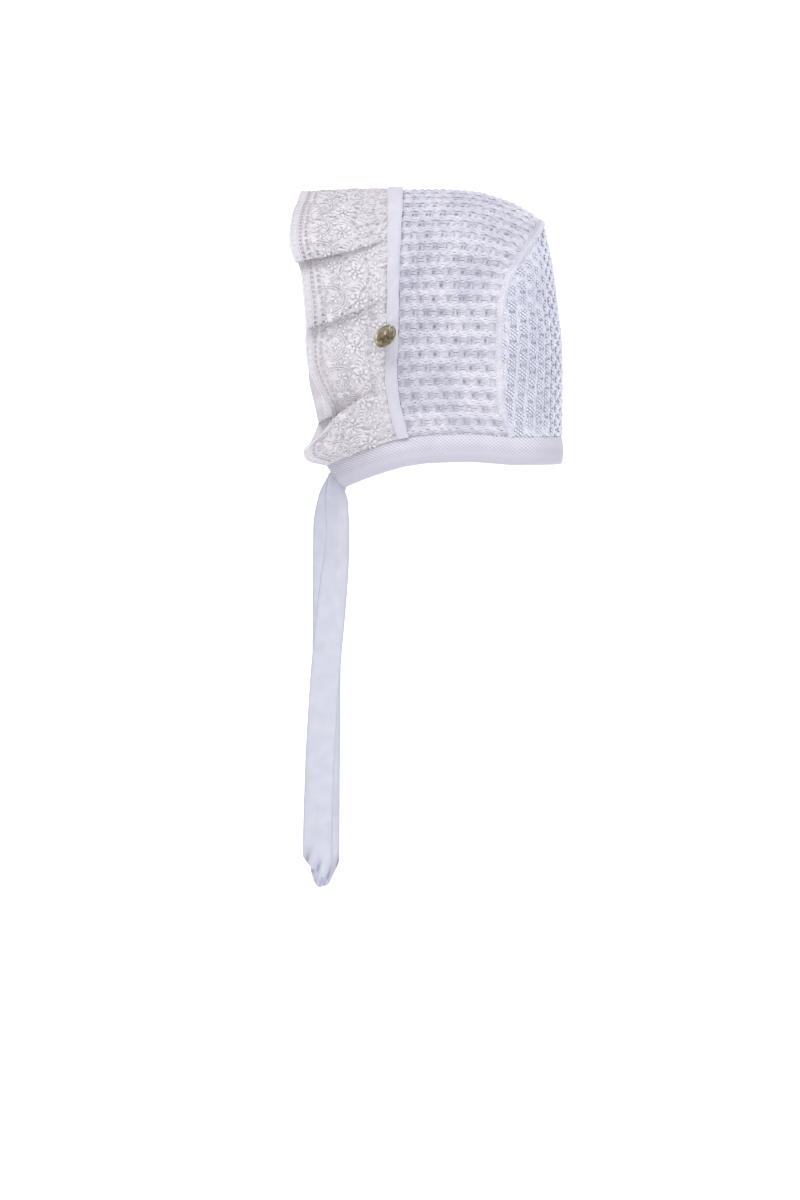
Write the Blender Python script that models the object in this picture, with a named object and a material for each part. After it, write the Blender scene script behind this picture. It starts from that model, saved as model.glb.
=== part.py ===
"""A baby's bonnet: a knitted hood with a lace ruffle round the face, a knitted neck band and two hanging ties.

Metres, +Z up. The bonnet faces -X, and its wearer's left side is -Y. The origin is where the top of the head
meets the inside of the crown. Each cloth piece is a wall between an outer and an inner surface.
"""

import math
from collections import namedtuple

import bmesh
import bpy
import numpy as np

# Crown sizes
CROWN_DEPTH = 0.1095  # from the face edge to the back of the head
CROWN_HEIGHT = 0.1555  # from the top to the upper edge of the neck band
CROWN_WIDTH = 0.126  # across the outside, over the ears
ARCH_HEIGHT = 0.074  # from the top down to the widest level
HEAD_SEAT_BACK = 0.045  # the origin's distance behind the face edge
KNIT_WALL = 0.0026
ARCH_SHARE = 0.55  # the part of a half hoop that is arch, before it runs down the side
NECK_TAPER = 0.13  # how much narrower the crown is at the neck band
ARCH_POWER_FACE, ARCH_POWER_BACK = 2.1, 2.35
BACK_POWER = 2.3  # above 2 is squarer than an ellipse, seen from above

# Trim sizes
TAPE_WIDTH = 0.0098
TAPE_LAP = 0.0019  # how far the tape reaches over the lace
TAPE_WALL = 0.001
LACE_WIDTH = 0.066
LACE_WALL = 0.001
RUFFLE_WAVE = 0.014  # crest to valley at the free edge
BAND_HEIGHT = 0.0172
BAND_SLANT = 0.005  # how much shorter the lower edge is at each front end
BAND_WALL = 0.0024
BAND_CROWN = 0.0009  # how far the band's middle stands out
TIE_WIDTH = 0.0186
TIE_LENGTH = 0.2545
TIE_WALL = 0.0012
TIE_SLANT = 0.0145  # how much longer one edge is at the cut end
FAR_TIE_EXTRA = 0.006

# Button sizes
BUTTON_DIAMETER = 0.0156
BUTTON_WALL = 0.0013
BUTTON_HOLE = 0.0026
BUTTON_HOLE_INSET = 0.0027  # from the hole's centre to the rim
BUTTON_PLACE = 0.66  # along the half hoop, from the top
BUTTON_STANDOFF = 0.0072
BUTTON_AHEAD = 0.0006  # of the tape's front edge
THREAD = 0.0007

GAP = 0.0003  # between pieces that touch

# Outlines, as shares of the sizes above. The first column is the place that the others are read at.
Top = namedtuple("Top", "depth drop")
Edge = namedtuple("Edge", "height depth")
Width = namedtuple("Width", "station half")
Neck = namedtuple("Neck", "station drop")
TOP_LINE = (
    Top(0.0, 0.0),
    Top(0.28, 0.0),
    Top(0.46, 0.006),
    Top(0.64, 0.037),
    Top(0.78, 0.080),
    Top(0.88, 0.130),
)
SEAM_TOP = TOP_LINE[-1].depth
FACE_EDGE = (
    Edge(0.0, 0.0),
    Edge(0.50, -0.004),
    Edge(0.76, -0.015),
    Edge(0.86, 0.002),
    Edge(0.93, 0.026),
    Edge(1.0, 0.053),
)
BACK_SEAM = (
    Edge(0.0, SEAM_TOP),
    Edge(0.06, 0.842),
    Edge(0.12, 0.795),
    Edge(0.20, 0.728),
    Edge(0.31, 0.656),
    Edge(0.45, 0.624),
    Edge(0.60, 0.616),
    Edge(0.82, 0.622),
    Edge(1.0, 0.69),
)
BACK_LINE = (
    Edge(0.0, SEAM_TOP),
    Edge(0.08, 0.906),
    Edge(0.22, 0.942),
    Edge(0.40, 0.971),
    Edge(0.55, 0.994),
    Edge(0.73, 1.0),
    Edge(1.0, 0.998),
)
WIDTH_LINE = (
    Width(0.0, 0.92),
    Width(0.14, 0.925),
    Width(0.35, 0.98),
    Width(0.65, 1.0),
    Width(1.0, 0.975),
)
NECK_LINE = (
    Neck(0.0, 0.020),
    Neck(0.25, 0.005),
    Neck(0.60, 0.0),
    Neck(1.0, 0.012),
)

# Soft hollows in the crown's sides: centre and reach as shares of depth and half hoop, depth of crown width
Dent = namedtuple("Dent", "station place reach_along reach_down depth")
DENTS = (
    Dent(0.20, 0.50, 0.16, 0.20, 0.020),
    Dent(0.62, 0.80, 0.22, 0.10, 0.012),
)

# How the ruffle runs out from the face edge: place along the half hoop, reach and droop as shares of the
# lace's width, tilt downwards and flare outwards in degrees.
Run = namedtuple("Run", "place reach tilt flare droop")
RUFFLE_RUN = (
    Run(0.0, 0.86, 0.0, -8.0, 0.0),
    Run(0.16, 0.93, 4.0, -7.0, 0.0),
    Run(0.26, 0.96, 7.0, -4.0, 0.01),
    Run(0.36, 0.88, 9.0, 0.0, 0.02),
    Run(0.535, 0.84, 12.0, 2.0, 0.02),
    Run(0.68, 0.83, 14.0, 2.0, 0.03),
    Run(0.83, 0.76, 23.0, 0.0, 0.04),
    Run(0.93, 0.92, 22.0, -6.0, 0.05),
    Run(1.0, 0.76, 17.0, -16.0, 0.08),
)
# Its folds: where each starts and ends on the half hoop, its crest as a share of the wave, and how far the
# crest leans down (or up, below zero) as a share of the fold.
Fold = namedtuple("Fold", "start end crest lean")
RUFFLE_FOLDS = (
    Fold(-0.13, 0.13, 0.50, 0.0),
    Fold(0.13, 0.36, 0.85, 0.50),
    Fold(0.36, 0.535, 0.95, 0.50),
    Fold(0.535, 0.83, 1.0, 0.12),
    Fold(0.83, 1.0, 1.0, -0.42),
)
WAVE_START, LEAN_START = 1.3, 1.2  # powers: how late the folds open, going out from the tape

# The ties: drop as a share of length, ahead as a share of length from the band's end, width as a share of
# the tie's width, roll in the tie's own plane and bow sideways (share of length), turn about the vertical.
TieRow = namedtuple("TieRow", "drop ahead width roll turn bow")
NEAR_TIE = (
    TieRow(0.0, 0.0, 0.77, 47.0, 0.0, 0.0),
    TieRow(0.05, 0.000, 0.88, 16.0, 28.0, 0.004),
    TieRow(0.12, -0.003, 0.97, 3.0, 38.0, 0.010),
    TieRow(0.30, 0.012, 1.0, 3.0, 14.0, 0.012),
    TieRow(0.50, 0.030, 1.0, 4.0, 4.0, 0.010),
    TieRow(0.75, 0.044, 1.0, 2.0, 8.0, 0.006),
    TieRow(0.92, 0.048, 1.0, 0.0, 3.0, 0.004),
    TieRow(1.0, 0.045, 0.85, 0.0, 3.0, 0.002),
)
FAR_TIE = (
    TieRow(0.0, 0.0, 0.77, 47.0, 0.0, 0.0),
    TieRow(0.05, 0.020, 0.90, 22.0, -12.0, 0.004),
    TieRow(0.12, 0.028, 1.0, 4.0, -8.0, 0.008),
    TieRow(0.40, 0.030, 1.0, 0.0, -2.0, 0.008),
    TieRow(0.75, 0.033, 1.0, -2.0, 4.0, 0.004),
    TieRow(0.92, 0.034, 1.0, -2.0, 4.0, 0.002),
    TieRow(1.0, 0.040, 0.85, -4.0, 4.0, 0.0),
)
TIE_CURL = 0.05  # how far a tie's middle stands off its edges, as a share of its width

# Mesh fineness
HOOP_STEPS, CROWN_STEPS, BACK_STEPS = 40, 12, 16
RUFFLE_STEPS, RUFFLE_RINGS = 60, 8
BAND_STEPS, BAND_ROWS = 34, 3
TIE_STEPS, TIE_COLUMNS = 30, 4
BUTTON_SIDES = 40


def read(table, column, place):
    """A table's column at a place, on a smooth curve through its rows that doesn't overshoot them."""
    at = np.array([row[0] for row in table], float)
    value = np.array([getattr(row, column) for row in table], float)
    rise = np.diff(value) / np.diff(at)
    slope = np.concatenate([rise[:1], np.zeros(len(at) - 2), rise[-1:]])
    same_way = rise[:-1] * rise[1:] > 0
    slope[1:-1][same_way] = (2 * rise[:-1] * rise[1:])[same_way] / (rise[:-1] + rise[1:])[same_way]
    place = np.clip(place, at[0], at[-1])
    i = np.clip(np.searchsorted(at, place, "right") - 1, 0, len(at) - 2)
    step = at[i + 1] - at[i]
    s = (place - at[i]) / step
    rest = 1 - s
    ends = value[i] * rest**2 * (1 + 2 * s) + value[i + 1] * s**2 * (3 - 2 * s)
    return ends + step * s * rest * (slope[i] * rest - slope[i + 1] * s)


def unit(vectors):
    return vectors / np.maximum(np.linalg.norm(vectors, axis=-1, keepdims=True), 1e-12)


def hoop(station, place, inset=0.0):
    """Points of the crown's half hoops: station from the face edge (0) to the back seam (1), place from the top
    centre (0) down to the neck (1), inset from the outer surface towards the head. They lie on the +Y side."""
    station, place = np.broadcast_arrays(np.asarray(station, float), np.asarray(place, float))
    drop = read(TOP_LINE, "drop", station * SEAM_TOP) * CROWN_HEIGHT
    top = KNIT_WALL - drop - inset
    widest = KNIT_WALL - ARCH_HEIGHT
    low = KNIT_WALL - CROWN_HEIGHT * (1 + read(NECK_LINE, "drop", station))
    power = 2 / (ARCH_POWER_FACE + (ARCH_POWER_BACK - ARCH_POWER_FACE) * station)
    turn = np.clip(place / ARCH_SHARE, 0, 1) * math.pi / 2
    down = np.clip((place - ARCH_SHARE) / (1 - ARCH_SHARE), 0, 1)
    half = CROWN_WIDTH / 2 * read(WIDTH_LINE, "half", station) - inset
    for dent in DENTS:
        far = ((station - dent.station) / dent.reach_along) ** 2 + ((place - dent.place) / dent.reach_down) ** 2
        half = half - dent.depth * CROWN_WIDTH * np.exp(-far)
    y = half * np.sin(turn) ** power * (1 - NECK_TAPER * down**2)
    arch = top - (top - widest) * (1 - np.clip(np.cos(turn), 0, 1) ** power)
    z = np.where(place < ARCH_SHARE, arch, widest - (widest - low) * down)
    height = (top - z) / (top - low)
    face, seam = read(FACE_EDGE, "depth", height), read(BACK_SEAM, "depth", height)
    x = CROWN_DEPTH * (face * (1 - station) + seam * station) - HEAD_SEAT_BACK
    x = x - inset * station * np.clip(1 - height / 0.3, 0, 1)
    return np.stack([x, y, z], axis=-1)


def back(across, place, inset=0.0):
    """Points of the back panel: across from -1 (the -Y seam) to 1, place down the seam from its top."""
    across, place = np.broadcast_arrays(np.asarray(across, float), np.asarray(place, float))
    seam = hoop(np.ones_like(place), place, inset)
    top, low = hoop(1.0, 0.0, inset)[2], hoop(1.0, 1.0, inset)[2]
    middle = CROWN_DEPTH * read(BACK_LINE, "depth", (top - seam[..., 2]) / (top - low)) - HEAD_SEAT_BACK - inset
    turn = across * math.pi / 2
    power = 2 / BACK_POWER
    x = seam[..., 0] + (middle - seam[..., 0]) * np.clip(np.cos(turn), 0, 1) ** power
    y = seam[..., 1] * np.sign(turn) * np.abs(np.sin(turn)) ** power
    return np.stack([x, y, seam[..., 2]], axis=-1)


def face_frame(place):
    """At places on the face edge: the point, the direction down the hoop and the outward normal."""
    step = 1e-3
    low, high = np.clip(place - step, 0, 1), np.clip(place + step, 0, 1)
    down = hoop(0.0, high) - hoop(0.0, low)
    down[..., 0] = 0
    down = unit(down)
    out = np.stack([np.zeros_like(down[..., 0]), -down[..., 2], down[..., 1]], axis=-1)
    return hoop(0.0, place), down, out


HALF_HOOP = float(np.linalg.norm(np.diff(hoop(0.0, np.linspace(0, 1, 200)), axis=0), axis=1).sum())


def ruffle(place, reach):
    """Points of the lace: place along the half hoop (0 to 1), reach from the tape (0) to the free edge (1)."""
    place, reach = np.broadcast_arrays(np.asarray(place, float), np.asarray(reach, float))
    start, down, out = face_frame(place)
    tilt, flare = (np.radians(read(RUFFLE_RUN, name, place))[..., None] for name in ("tilt", "flare"))
    ahead = np.array([-1.0, 0.0, 0.0]) * np.cos(tilt) + down * np.sin(tilt)
    ahead = ahead * np.cos(flare) + out * np.sin(flare)
    length = LACE_WIDTH * read(RUFFLE_RUN, "reach", place)
    crest, lean = np.zeros_like(place), np.zeros_like(place)
    for fold in RUFFLE_FOLDS:
        width = fold.end - fold.start
        inside = (place >= fold.start) & (place <= fold.end)
        rise = np.where(inside, (1 - np.cos(2 * math.pi * (place - fold.start) / width)) / 2, 0)
        crest = crest + fold.crest * RUFFLE_WAVE * rise
        lean = lean + fold.lean * width * HALF_HOOP * rise
    free = np.clip(reach - TAPE_LAP / LACE_WIDTH, 0, 1)
    points = start + ahead * (length * reach)[..., None]
    points = points + out * (crest * free**WAVE_START)[..., None] + down * (lean * free**LEAN_START)[..., None]
    points[..., 0] -= GAP
    points[..., 2] -= read(RUFFLE_RUN, "droop", place) * LACE_WIDTH * reach**2
    return points


def neck_edge(run, inset=0.0):
    """The line that the neck band hangs from, on the +Y side: run 0 at the back, 1 at the seam, 2 at the tape, 3 at
    the band's front end."""
    run = np.asarray(run, float)
    parts = [
        back(np.clip(run, 0, 1), 1.0, inset),
        hoop(np.clip(2 - run, 0, 1), 1.0, inset),
        ruffle(1.0, np.clip(run - 2, 0, 1)) - np.array([0.0, inset, 0.0]),
    ]
    return np.where((run < 1)[..., None], parts[0], np.where((run < 2)[..., None], parts[1], parts[2]))


def even_runs(count):
    """Values of run that are evenly spaced along the neck edge, from its back to its front end."""
    fine = np.linspace(0, 3, 601)
    along = np.concatenate([[0], np.cumsum(np.linalg.norm(np.diff(neck_edge(fine), axis=0), axis=1))])
    return np.interp(np.linspace(0, along[-1], count), along, fine)


def band(run, drop, inset=0.0):
    """Points of the neck band: run as in neck_edge, drop from its upper edge (0) to its lower edge (1)."""
    run, drop = np.broadcast_arrays(np.asarray(run, float), np.asarray(drop, float))
    window = 0.16
    tangent = neck_edge(np.clip(run + window, 0, 3)) - neck_edge(np.clip(run - window, 0, 3))
    level = tangent.copy()
    level[..., 2] = 0
    level = unit(level)
    out = np.stack([level[..., 1], -level[..., 0], np.zeros_like(run)], axis=-1)
    slope = unit(tangent)
    down = np.cross(slope, out)
    down = down * np.sign(-down[..., 2:])
    edge = neck_edge(run)
    fall = GAP + BAND_HEIGHT * drop
    swell = BAND_CROWN * 4 * drop * (1 - drop) - inset
    short = BAND_SLANT * drop * np.clip(run - 2, 0, 1) ** 2
    return edge + down * fall[..., None] + out * swell[..., None] - slope * short[..., None]


def tie(table, length, drop, across, side, inset=0.0):
    """Points of a tie on its side, -1 or 1: drop from the band (0) to the cut end (1), across from its back edge
    (-1) to its front. The -Y tie is cut shorter in front, the other one at the back."""
    drop, across = np.broadcast_arrays(np.asarray(drop, float), np.asarray(across, float))
    high, low = band(3.0, 0.3), band(3.0, 1.0)
    ahead = unit(high - band(2.8, 0.3))
    end = unit(low - high)
    start = (high + low) / 2 + unit(ahead - end * (ahead @ end)) * GAP * 2
    drop = drop * (1 - TIE_SLANT / length * (1 - side * across) / 2)
    roll, turn = (np.radians(read(table, name, drop)) for name in ("roll", "turn"))
    half = TIE_WIDTH / 2 * read(table, "width", drop)
    wide = np.stack([-np.cos(roll) * np.cos(turn), -np.cos(roll) * np.sin(turn), np.sin(roll)], axis=-1)
    out = np.stack([-np.sin(turn), np.cos(turn), np.zeros_like(turn)], axis=-1)
    middle = np.stack(
        [
            start[0] - read(table, "ahead", drop) * length,
            start[1] + read(table, "bow", drop) * length,
            start[2] - drop * length,
        ],
        axis=-1,
    )
    stand = TIE_CURL * TIE_WIDTH * (1 - across**2) * np.clip(drop * 8, 0, 1) - inset
    points = middle + wide * (half * across)[..., None] + out * stand[..., None]
    return points * np.array([1.0, side, 1.0])


def mirrored(points):
    """A half surface on the +Y side (rows from the middle outwards) made whole, from -Y to +Y."""
    other = points[:0:-1] * np.array([1.0, -1.0, 1.0])
    return np.concatenate([other, points])


def material(name, colour, roughness, metallic=0.0):
    made = bpy.data.materials.new(name)
    made.use_nodes = True
    shader = made.node_tree.nodes["Principled BSDF"]
    shader.inputs["Base Color"].default_value = (*colour, 1.0)
    shader.inputs["Roughness"].default_value = roughness
    shader.inputs["Metallic"].default_value = metallic
    return made


def finish_object(name, bm, finish):
    mesh = bpy.data.meshes.new(name)
    bm.to_mesh(mesh)
    bm.free()
    mesh.shade_smooth()
    mesh.set_sharp_from_angle(angle=math.radians(50))
    mesh.materials.append(finish)
    made = bpy.data.objects.new(name, mesh)
    bpy.context.scene.collection.objects.link(made)
    return made


def walled(name, outer, inner, finish):
    """A closed cloth wall between two grids of points, rows by columns."""
    rows, columns = outer.shape[:2]
    bm = bmesh.new()
    near, far = ([[bm.verts.new(p) for p in row] for row in grid] for grid in (outer, inner))
    for i in range(rows - 1):
        for j in range(columns - 1):
            for grid in (near, far):
                bm.faces.new((grid[i][j], grid[i][j + 1], grid[i + 1][j + 1], grid[i + 1][j]))
    rims = [[(i, 0) for i in range(rows)], [(i, columns - 1) for i in range(rows)]]
    rims += [[(0, j) for j in range(columns)], [(rows - 1, j) for j in range(columns)]]
    for rim in rims:
        for (i, j), (k, m) in zip(rim, rim[1:]):
            bm.faces.new((near[i][j], near[k][m], far[k][m], far[i][j]))
    bmesh.ops.remove_doubles(bm, verts=bm.verts, dist=1e-6)
    bmesh.ops.recalc_face_normals(bm, faces=bm.faces)
    return finish_object(name, bm, finish)


def offset(points, distance):
    """A grid of points moved along its surface normals."""
    normal = unit(np.cross(np.gradient(points, axis=0), np.gradient(points, axis=1)))
    return points + normal * distance


def crown_panel(finish):
    station = np.linspace(0, 1 - GAP / (CROWN_DEPTH * 0.64), CROWN_STEPS)[None, :]
    place = np.linspace(0, 1, HOOP_STEPS // 2 + 1)[:, None]
    outer, inner = (mirrored(hoop(station, place, inset)) for inset in (0.0, KNIT_WALL))
    return walled("crown_panel", outer, inner, finish)


def back_panel(finish):
    across = np.linspace(-1, 1, BACK_STEPS)[None, :]
    place = np.linspace(0, 1, HOOP_STEPS // 2 + 1)[:, None]
    return walled("back_panel", back(across, place), back(across, place, KNIT_WALL), finish)


def face_tape(finish):
    place = np.linspace(0, 1 - GAP / HALF_HOOP, HOOP_STEPS // 2 + 7)[:, None]
    along = np.linspace(-TAPE_LAP, TAPE_WIDTH - TAPE_LAP, 4)[None, :]
    _, _, out = face_frame(place + np.zeros_like(along))
    skin = hoop(np.clip(along, 0, None) / (CROWN_DEPTH * SEAM_TOP), place)
    skin[..., 0] += np.minimum(along, 0)
    outer, inner = (mirrored(skin + out * height) for height in (GAP + TAPE_WALL, GAP))
    return walled("face_tape", outer, inner, finish)


def lace_ruffle(finish):
    place = np.linspace(0, 1, RUFFLE_STEPS + 1)[:, None]
    reach = np.linspace(0, 1, RUFFLE_RINGS)[None, :]
    outer = mirrored(ruffle(place, reach))
    return walled("lace_ruffle", outer, offset(outer, -LACE_WALL), finish)


def neck_band(finish):
    run = even_runs(BAND_STEPS)[:, None]
    drop = np.linspace(0, 1, BAND_ROWS + 1)[None, :]
    outer, inner = (mirrored(band(run, drop, inset)) for inset in (0.0, BAND_WALL))
    return walled("neck_band", outer, inner, finish)


def hanging_tie(name, table, length, side, finish):
    drop = np.linspace(0, 1, TIE_STEPS)[:, None] ** 1.3
    across = np.linspace(-1, 1, TIE_COLUMNS + 1)[None, :]
    outer, inner = (tie(table, length, drop, across, side, inset) for inset in (-TIE_WALL / 2, TIE_WALL / 2))
    return walled(name, outer, inner, finish)


def button_frame():
    """The button's centre and its axes: along the line through its hole, across, and its face normal."""
    start, _, out = face_frame(np.array(BUTTON_PLACE))
    mirror = np.array([1.0, -1.0, 1.0])
    seat = (start + out * (GAP + TAPE_WALL)) * mirror
    ahead = np.array([-TAPE_LAP - BUTTON_AHEAD, 0.0, 0.0])
    face = unit(np.array([-0.557, -0.695, 0.456]))
    along = unit(np.array([0.633, 0.0, 0.774]))
    return seat + ahead + out * mirror * BUTTON_STANDOFF, along, np.cross(face, along), face


def button(finish):
    centre, along, across, face = button_frame()
    bm = bmesh.new()
    turns = np.linspace(0, 2 * math.pi, BUTTON_SIDES, endpoint=False)
    hole_turns = np.linspace(0, 2 * math.pi, BUTTON_SIDES // 2, endpoint=False)
    hole_at = BUTTON_DIAMETER / 2 - BUTTON_HOLE_INSET

    def ring(angles, radius, shift, height):
        return [
            bm.verts.new(centre + along * (radius * math.cos(a) + shift) + across * radius * math.sin(a) + face * height)
            for a in angles
        ]

    half, soft = BUTTON_WALL / 2, BUTTON_WALL / 4
    rims = [
        ring(turns, BUTTON_DIAMETER / 2 - soft, 0, -half),
        ring(turns, BUTTON_DIAMETER / 2, 0, -half + soft),
        ring(turns, BUTTON_DIAMETER / 2, 0, half - soft),
        ring(turns, BUTTON_DIAMETER / 2 - soft, 0, half),
    ]
    bore = [ring(hole_turns, BUTTON_HOLE / 2, hole_at, height) for height in (-half, half)]
    for low, high in [*zip(rims, rims[1:]), bore]:
        for i in range(len(low)):
            j = (i + 1) % len(low)
            bm.faces.new((low[i], low[j], high[j], high[i]))
    for outline, hole in ((rims[0], bore[0]), (rims[-1], bore[1])):
        edges = [bm.edges.get((loop[i - 1], loop[i])) for loop in (outline, hole) for i in range(len(loop))]
        bmesh.ops.triangle_fill(bm, edges=edges, use_beauty=True)
    bmesh.ops.recalc_face_normals(bm, faces=bm.faces)
    return finish_object("button", bm, finish)


def button_thread(finish):
    """A loop of thread from the tape, out through the button's hole and back over its rim."""
    centre, along, across, face = button_frame()
    hole = centre + along * (BUTTON_DIAMETER / 2 - BUTTON_HOLE_INSET)
    rim = centre + along * (BUTTON_DIAMETER / 2)
    clear = BUTTON_WALL / 2 + THREAD / 2 + GAP
    start, _, out = face_frame(np.array(BUTTON_PLACE))
    out = out * np.array([1.0, -1.0, 1.0])
    skin = start[1] * -1 - (GAP + TAPE_WALL) - GAP
    ends = [hole - face * clear * 1.6, rim + along * (THREAD / 2 + 2 * GAP) * 1.2]
    feet = [np.array([p[0] + 0.0012, skin, p[2] - 0.0002]) for p in ends]
    route = [feet[0], ends[0], hole, hole + face * clear * 1.25, rim + face * clear * 0.9, ends[1], feet[1]]
    line = bpy.data.curves.new("button_thread", "CURVE")
    line.dimensions = "3D"
    line.bevel_depth = THREAD / 2
    line.bevel_resolution = 2
    line.use_fill_caps = True
    spline = line.splines.new("POLY")
    smooth = rounded_route(np.array(route))
    spline.points.add(len(smooth) - 1)
    for point, place in zip(spline.points, smooth):
        point.co = (*place, 1.0)
    line.materials.append(finish)
    made = bpy.data.objects.new("button_thread", line)
    bpy.context.scene.collection.objects.link(made)
    return made


def rounded_route(points, steps=4):
    """Points on a smooth curve through a route's own points."""
    at = np.arange(len(points))
    rows = [namedtuple("Stop", "at x y z")(i, *p) for i, p in zip(at, points)]
    fine = np.linspace(0, len(points) - 1, (len(points) - 1) * steps + 1)
    return np.stack([read(rows, name, fine) for name in ("x", "y", "z")], axis=-1)


def build():
    for old in list(bpy.data.objects):
        bpy.data.objects.remove(old)
    knit = material("knit", (0.80, 0.79, 0.84), 0.9)
    fine_knit = material("fine_knit", (0.81, 0.80, 0.85), 0.9)
    cotton = material("cotton_tape", (0.83, 0.82, 0.87), 0.8)
    lace = material("lace", (0.84, 0.82, 0.84), 0.85)
    brass = material("aged_brass", (0.35, 0.30, 0.20), 0.4, 0.9)
    crown_panel(knit)
    back_panel(knit)
    neck_band(fine_knit)
    face_tape(cotton)
    lace_ruffle(lace)
    hanging_tie("tie_left", NEAR_TIE, TIE_LENGTH, -1, cotton)
    hanging_tie("tie_right", FAR_TIE, TIE_LENGTH + FAR_TIE_EXTRA, 1, cotton)
    button(brass)
    button_thread(cotton)


build()
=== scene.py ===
"""Looks of the baby bonnet: knitted crown, lace ruffle, cotton tape, fine-knit band, ties and brass button.

Lengths are in metres. The bonnet faces -X, the camera looks along +Y, and the shapes are those of the frame.
"""

import math
from collections import namedtuple

import bpy
import numpy as np
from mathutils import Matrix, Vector


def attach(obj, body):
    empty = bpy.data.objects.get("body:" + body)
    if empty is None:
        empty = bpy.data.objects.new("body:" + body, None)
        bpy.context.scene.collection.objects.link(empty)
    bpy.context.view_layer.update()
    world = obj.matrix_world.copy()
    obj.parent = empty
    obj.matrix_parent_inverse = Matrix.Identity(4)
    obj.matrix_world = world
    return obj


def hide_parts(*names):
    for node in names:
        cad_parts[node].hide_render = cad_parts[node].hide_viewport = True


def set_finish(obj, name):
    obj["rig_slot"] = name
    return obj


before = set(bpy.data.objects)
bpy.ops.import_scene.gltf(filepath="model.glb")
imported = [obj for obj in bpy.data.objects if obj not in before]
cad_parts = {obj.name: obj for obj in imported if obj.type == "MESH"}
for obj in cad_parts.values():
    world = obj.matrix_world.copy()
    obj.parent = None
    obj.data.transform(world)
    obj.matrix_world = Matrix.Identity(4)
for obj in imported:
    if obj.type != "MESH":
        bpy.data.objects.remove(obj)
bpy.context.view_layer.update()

# The crown's sizes, as in the frame
CROWN_DEPTH, CROWN_HEIGHT, CROWN_WIDTH = 0.1095, 0.1555, 0.126
ARCH_HEIGHT, HEAD_SEAT_BACK, KNIT_WALL = 0.074, 0.045, 0.0026
ARCH_SHARE, NECK_TAPER = 0.55, 0.13
ARCH_POWER_FACE, ARCH_POWER_BACK, BACK_POWER = 2.1, 2.35, 2.3

# The trims' sizes, as in the frame
TAPE_WIDTH, TAPE_LAP, TAPE_WALL = 0.0098, 0.0019, 0.001
LACE_WIDTH, RUFFLE_WAVE = 0.066, 0.014
BAND_HEIGHT, BAND_SLANT, BAND_WALL, BAND_CROWN = 0.0172, 0.005, 0.0024, 0.0009
TIE_WIDTH, TIE_LENGTH, TIE_WALL, TIE_SLANT, FAR_TIE_EXTRA = 0.0186, 0.2545, 0.0012, 0.0145, 0.006
BUTTON_DIAMETER, BUTTON_WALL, BUTTON_HOLE, BUTTON_HOLE_INSET = 0.0156, 0.0013, 0.0026, 0.0027
BUTTON_PLACE, BUTTON_STANDOFF, BUTTON_AHEAD, THREAD = 0.66, 0.0072, 0.0006, 0.0007
GAP = 0.0003

# The knit's sizes
ROW_COUNT = 23  # on each side of the crown, from the top to the neck
CELL = 0.0092  # from one puff to the next in a row
PUFF_STRANDS = (-1.0, 0.0, 1.0)
STRAND = 0.00098  # a puff strand's radius
EYE_STRAND = 0.00046
COLUMN_PITCH = 0.0074
YARN_STEPS = 7  # per puff
KNIT_START = 0.0058  # behind the face edge, under the tape
GROUND_START = 0.005  # of the way from the face edge to the seam
PAD = 0.0091  # the length of a pad in the back panel's columns
PAD_REACH = 0.41 * PAD  # from a pad's middle to its ends
PAD_LANES = (-1.5, -0.5, 0.5, 1.5)
STITCH_WIDE, STITCH_TALL = 0.0026, 0.0021  # of the neck band


# Outlines as in the frame, mostly as shares of the sizes above


def table_of(columns, rows):
    """Rows of numbers with named columns."""
    kind = namedtuple("Row", columns)
    return [kind(*row) for row in rows]


TOP_LINE = table_of(
    "depth drop", ((0.0, 0.0), (0.28, 0.0), (0.46, 0.006), (0.64, 0.037), (0.78, 0.080), (0.88, 0.130))
)
SEAM_TOP = TOP_LINE[-1].depth
FACE_EDGE = table_of(
    "height depth", ((0.0, 0.0), (0.50, -0.004), (0.76, -0.015), (0.86, 0.002), (0.93, 0.026), (1.0, 0.053))
)
BACK_SEAM = table_of(
    "height depth",
    (
        *((0.0, SEAM_TOP), (0.06, 0.842), (0.12, 0.795), (0.20, 0.728), (0.31, 0.656)),
        *((0.45, 0.624), (0.60, 0.616), (0.82, 0.622), (1.0, 0.69)),
    ),
)
BACK_LINE = table_of(
    "height depth",
    ((0.0, SEAM_TOP), (0.08, 0.906), (0.22, 0.942), (0.40, 0.971), (0.55, 0.994), (0.73, 1.0), (1.0, 0.998)),
)
WIDTH_LINE = table_of("station half", ((0.0, 0.92), (0.14, 0.925), (0.35, 0.98), (0.65, 1.0), (1.0, 0.975)))
NECK_LINE = table_of("station drop", ((0.0, 0.020), (0.25, 0.005), (0.60, 0.0), (1.0, 0.012)))
DENTS = table_of(
    "station place reach_along reach_down depth",
    ((0.18, 0.50, 0.14, 0.20, 0.040), (0.62, 0.80, 0.22, 0.10, 0.012)),
)

RUFFLE_RUN = table_of(
    "place reach tilt flare droop",
    (
        (0.0, 0.86, 0.0, -8.0, 0.0),
        (0.16, 0.93, 4.0, -7.0, 0.0),
        (0.26, 0.96, 7.0, -4.0, 0.01),
        (0.36, 0.88, 9.0, 0.0, 0.02),
        (0.535, 0.80, 12.0, 2.0, 0.02),
        (0.68, 0.83, 14.0, 2.0, 0.03),
        (0.83, 0.76, 23.0, 0.0, 0.04),
        (0.93, 0.92, 22.0, -6.0, 0.05),
        (1.0, 0.76, 17.0, -16.0, 0.08),
    ),
)
PLEATS = table_of(
    "start end rise shift lip",
    (
        (-0.13, 0.13, 0.45, 0.0, 0),
        (0.10, 0.368, 0.52, 0.29, 1),
        (0.368, 0.540, 0.50, 0.39, 1),
        (0.540, 0.87, 0.80, 0.0, 0),
        (0.822, 1.0, 0.95, 0.12, -1),
    ),
)
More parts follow.
